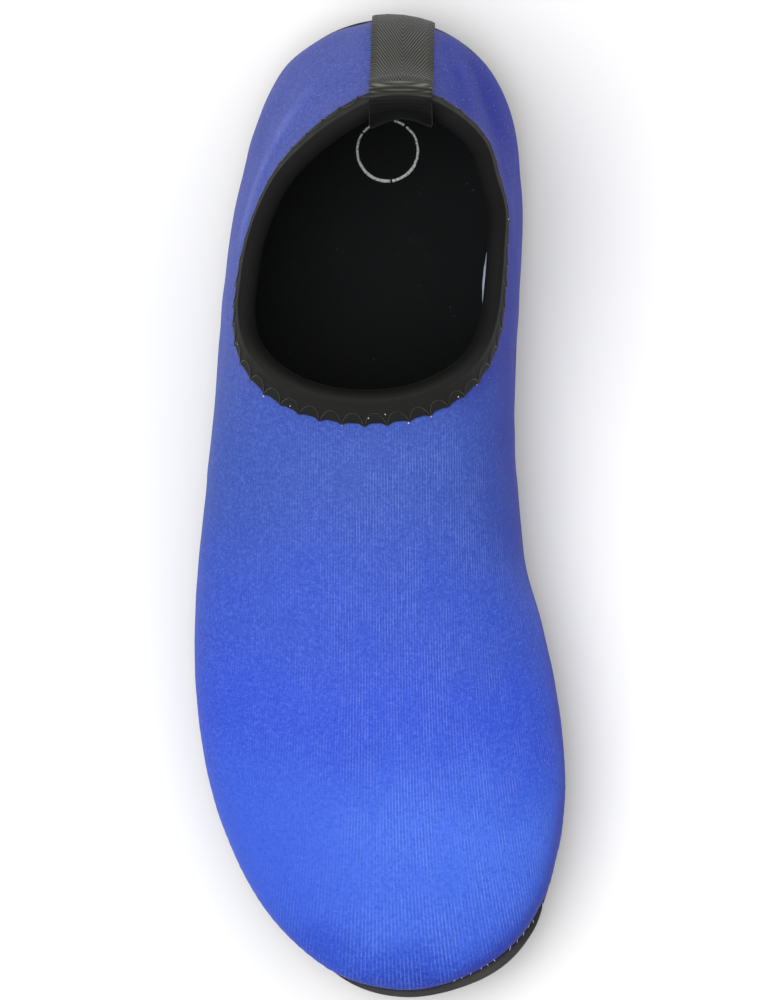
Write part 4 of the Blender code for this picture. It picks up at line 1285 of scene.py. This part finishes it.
def make_loop(mat):
    """The webbing: up the heel, over in a loop and down inside, finely divided."""
    on_wall = TAPE_CLEARANCE + TAPE / 2
    on_binding = GAP + BINDING + TAPE_CLEARANCE + TAPE / 2
    heel_lip = SOLE["lip_in"][0] * SIDE_WALL + GAP
    lowest = level_at_height(np.zeros(1), heel_lip, on_wall)[0]
    up_the_heel = np.linspace(lowest, 2, len(SEARCH_UP))
    wall_length = ways(face(np.zeros(len(up_the_heel)), up_the_heel))[-1]
    rows = [tape_row(on_wall, by_height=heel_lip)]
    for part in TAPE_HEEL_ROWS:
        rows.append(tape_row(on_wall, wall_length * (1 - part)))
    for part in TAPE_BINDING_ROWS:
        rows.append(tape_row(on_binding, BINDING_OUTSIDE * part))
    outer = tape_row(on_binding, BINDING_OUTSIDE / 2)
    inner = tape_row(-(UPPER_WALL + on_binding + GAP))
    before_loop = len(rows)
    for turn in np.radians(LOOP_TURNS):
        part = (1 - math.cos(turn)) / 2
        row = outer * (1 - part) + inner * part
        row[:, 2] += LOOP_RISE * abs(math.sin(turn)) ** LOOP_FULLNESS
        row[:, 1] -= LOOP_LEAN * math.sin(turn) + LOOP_SWELL * math.sin(2 * turn)
        flat = row.mean(axis=0)
        row[:, 1:] += (flat[1:] - row[:, 1:]) * math.sin(turn) ** 3
        rows.append(row)
    for part in TAPE_INSIDE_ROWS:
        rows.append(tape_row(-(UPPER_WALL + on_binding), TAPE_INSIDE * part))
    coarse = np.array(rows)
    top = ways(coarse[:, 2])[before_loop + LOOP_TURNS.index(90)]
    fine, along = refine(coarse, 230)
    spine = fine[:, fine.shape[1] // 2]
    level_part = np.abs(np.gradient(spine[:, 1])) / np.linalg.norm(np.gradient(spine, axis=0), axis=1)
    weave_way = np.cumsum(np.gradient(along) * np.clip(level_part, 0.42, 1.0))
    swapped = np.swapaxes(fine, 0, 1)
    columns = np.linspace(0, 4, 33)
    low = np.clip(columns.astype(int), 0, 3)
    part = (columns - low)[:, None, None]
    dense = swapped[low] * (1 - part) + swapped[low + 1] * part
    grid = np.swapaxes(dense, 0, 1)
    across = grid[..., 0] - TAPE_MIDDLE
    ahead = np.gradient(grid, axis=0)
    side = np.gradient(grid, axis=1)
    out = unit(np.cross(side, ahead))
    if out[20, 16, 1] > 0:
        out = -out
    from_top = (along - top)[:, None] - 0.0006 * (np.abs(across) / 0.008) ** 2
    fold = smooth(-0.0026, -0.0023, from_top)
    welt_highlight, shadow = [
        sum(strength * hill(from_top + before, width) for before, width, strength in ribs)
        for ribs in (LIGHT_RIBS, DARK_RIBS)
    ]
    edge = smooth(0.0071, 0.0080, np.abs(across))
    lift = RIB_HEIGHT * (welt_highlight - shadow) - SELVAGE_DROP * edge
    rows_count, columns_count = grid.shape[:2]
    faces_out = grid + out * (TAPE / 2 + lift)[..., None]
    faces_in = grid - out * (TAPE / 2 - SELVAGE_DROP * edge)[..., None]
    verts = to_world(faces_out) + to_world(faces_in)
    total = rows_count * columns_count
    faces = []
    for a, b, c, d in grid_faces(rows_count, columns_count):
        faces += [(a, b, c, d), (total + a, total + d, total + c, total + b)]
    for r in range(rows_count - 1):
        for c in (0, columns_count - 1):
            a, b = r * columns_count + c, (r + 1) * columns_count + c
            faces.append((a, b, total + b, total + a))
    for r in (0, rows_count - 1):
        for c in range(columns_count - 1):
            a = r * columns_count + c
            faces.append((a, a + 1, total + a + 1, total + a))
    obj = mesh_object("heel_pull_loop_webbing", verts, faces, (mat,), "webbing", "heel_pull_loop", sharp=50)
    # Painted shade for the webbing: 0 to 1 over the top of the loop, up to 2 deeper down the inner leg
    inner_leg = smooth(-0.0002, 0.0016, from_top) + smooth(0.002, 0.008, from_top)
    fabric = np.stack([across, np.broadcast_to(weave_way[:, None], across.shape), inner_leg], axis=-1)
    store(obj, "fabric", np.concatenate([fabric.reshape(-1, 3)] * 2))
    bands = np.stack([np.clip(welt_highlight, 0, 1), np.clip(shadow, 0, 1), fold], axis=-1)
    store(obj, "bands", np.concatenate([bands.reshape(-1, 3)] * 2))


def make_floor():
    bpy.ops.mesh.primitive_plane_add(size=16, location=(0, 0, -0.0001))
    floor = bpy.context.object
    floor.name = "floor"
    s = Shader("floor_pale", 0.85, specular=0.2)
    mottle = s.noise(0.6, 3.0, 0.5)
    s.finish(s.mix(mottle, (0.86, 0.86, 0.865, 1), (0.90, 0.90, 0.90, 1)), 0.85)
    floor.data.materials.append(s.mat)


def area_light(name, power, size, place, target=(0.0, 0.0, 0.02)):
    data = bpy.data.lights.new(name, "AREA")
    data.energy, data.shape, data.size = power, "DISK", size
    lamp = bpy.data.objects.new(name, data)
    bpy.context.scene.collection.objects.link(lamp)
    lamp.location = place
    way = np.array(target) - np.array(place)
    lamp.rotation_euler = Vector(way).to_track_quat("-Z", "Y").to_euler()


def make_light_and_camera():
    scene = bpy.context.scene
    world = scene.world = bpy.data.worlds.new("studio")
    world.use_nodes = True
    sky = world.node_tree.nodes["Background"]
    sky.inputs[0].default_value = (1.0, 1.0, 1.0, 1.0)
    sky.inputs[1].default_value = SKY
    for lamp in LAMPS:
        area_light(*lamp)
    data = bpy.data.cameras.new("camera")
    camera = bpy.data.objects.new("camera", data)
    scene.collection.objects.link(camera)
    data.sensor_width = 36.0
    data.lens = 36.0 * CAMERA["away"] / CAMERA["view_height"]
    data.clip_end = 60.0
    middle = Vector((0.0, CAMERA["along"], CAMERA["sharp_height"]))
    camera.location = middle + Vector((CAMERA["beside"], 0.0, CAMERA["away"]))
    camera.rotation_euler = (0.0, math.atan2(CAMERA["beside"], CAMERA["away"]), 0.0)
    scene.camera = camera
    scene.view_settings.view_transform = "Standard"
    scene.view_settings.look = "None"


def main():
    make_outsole(rubber_material(), tread_material())
    make_upper(knit_material(), lining_material())
    make_insole(insole_material())
    thread = thread_material("zigzag_thread", (30, 30, 27), (58, 55, 43))
    lint = thread_material("pale_lint", (196, 202, 216), (236, 238, 242))
    wall, shares, turn, outside = make_binding(elastic_material())
    make_stitches(wall, shares, turn, outside, thread, lint)
    make_loop(webbing_material())
    make_toe_fibres(lint)
    make_floor()
    make_light_and_camera()


main()
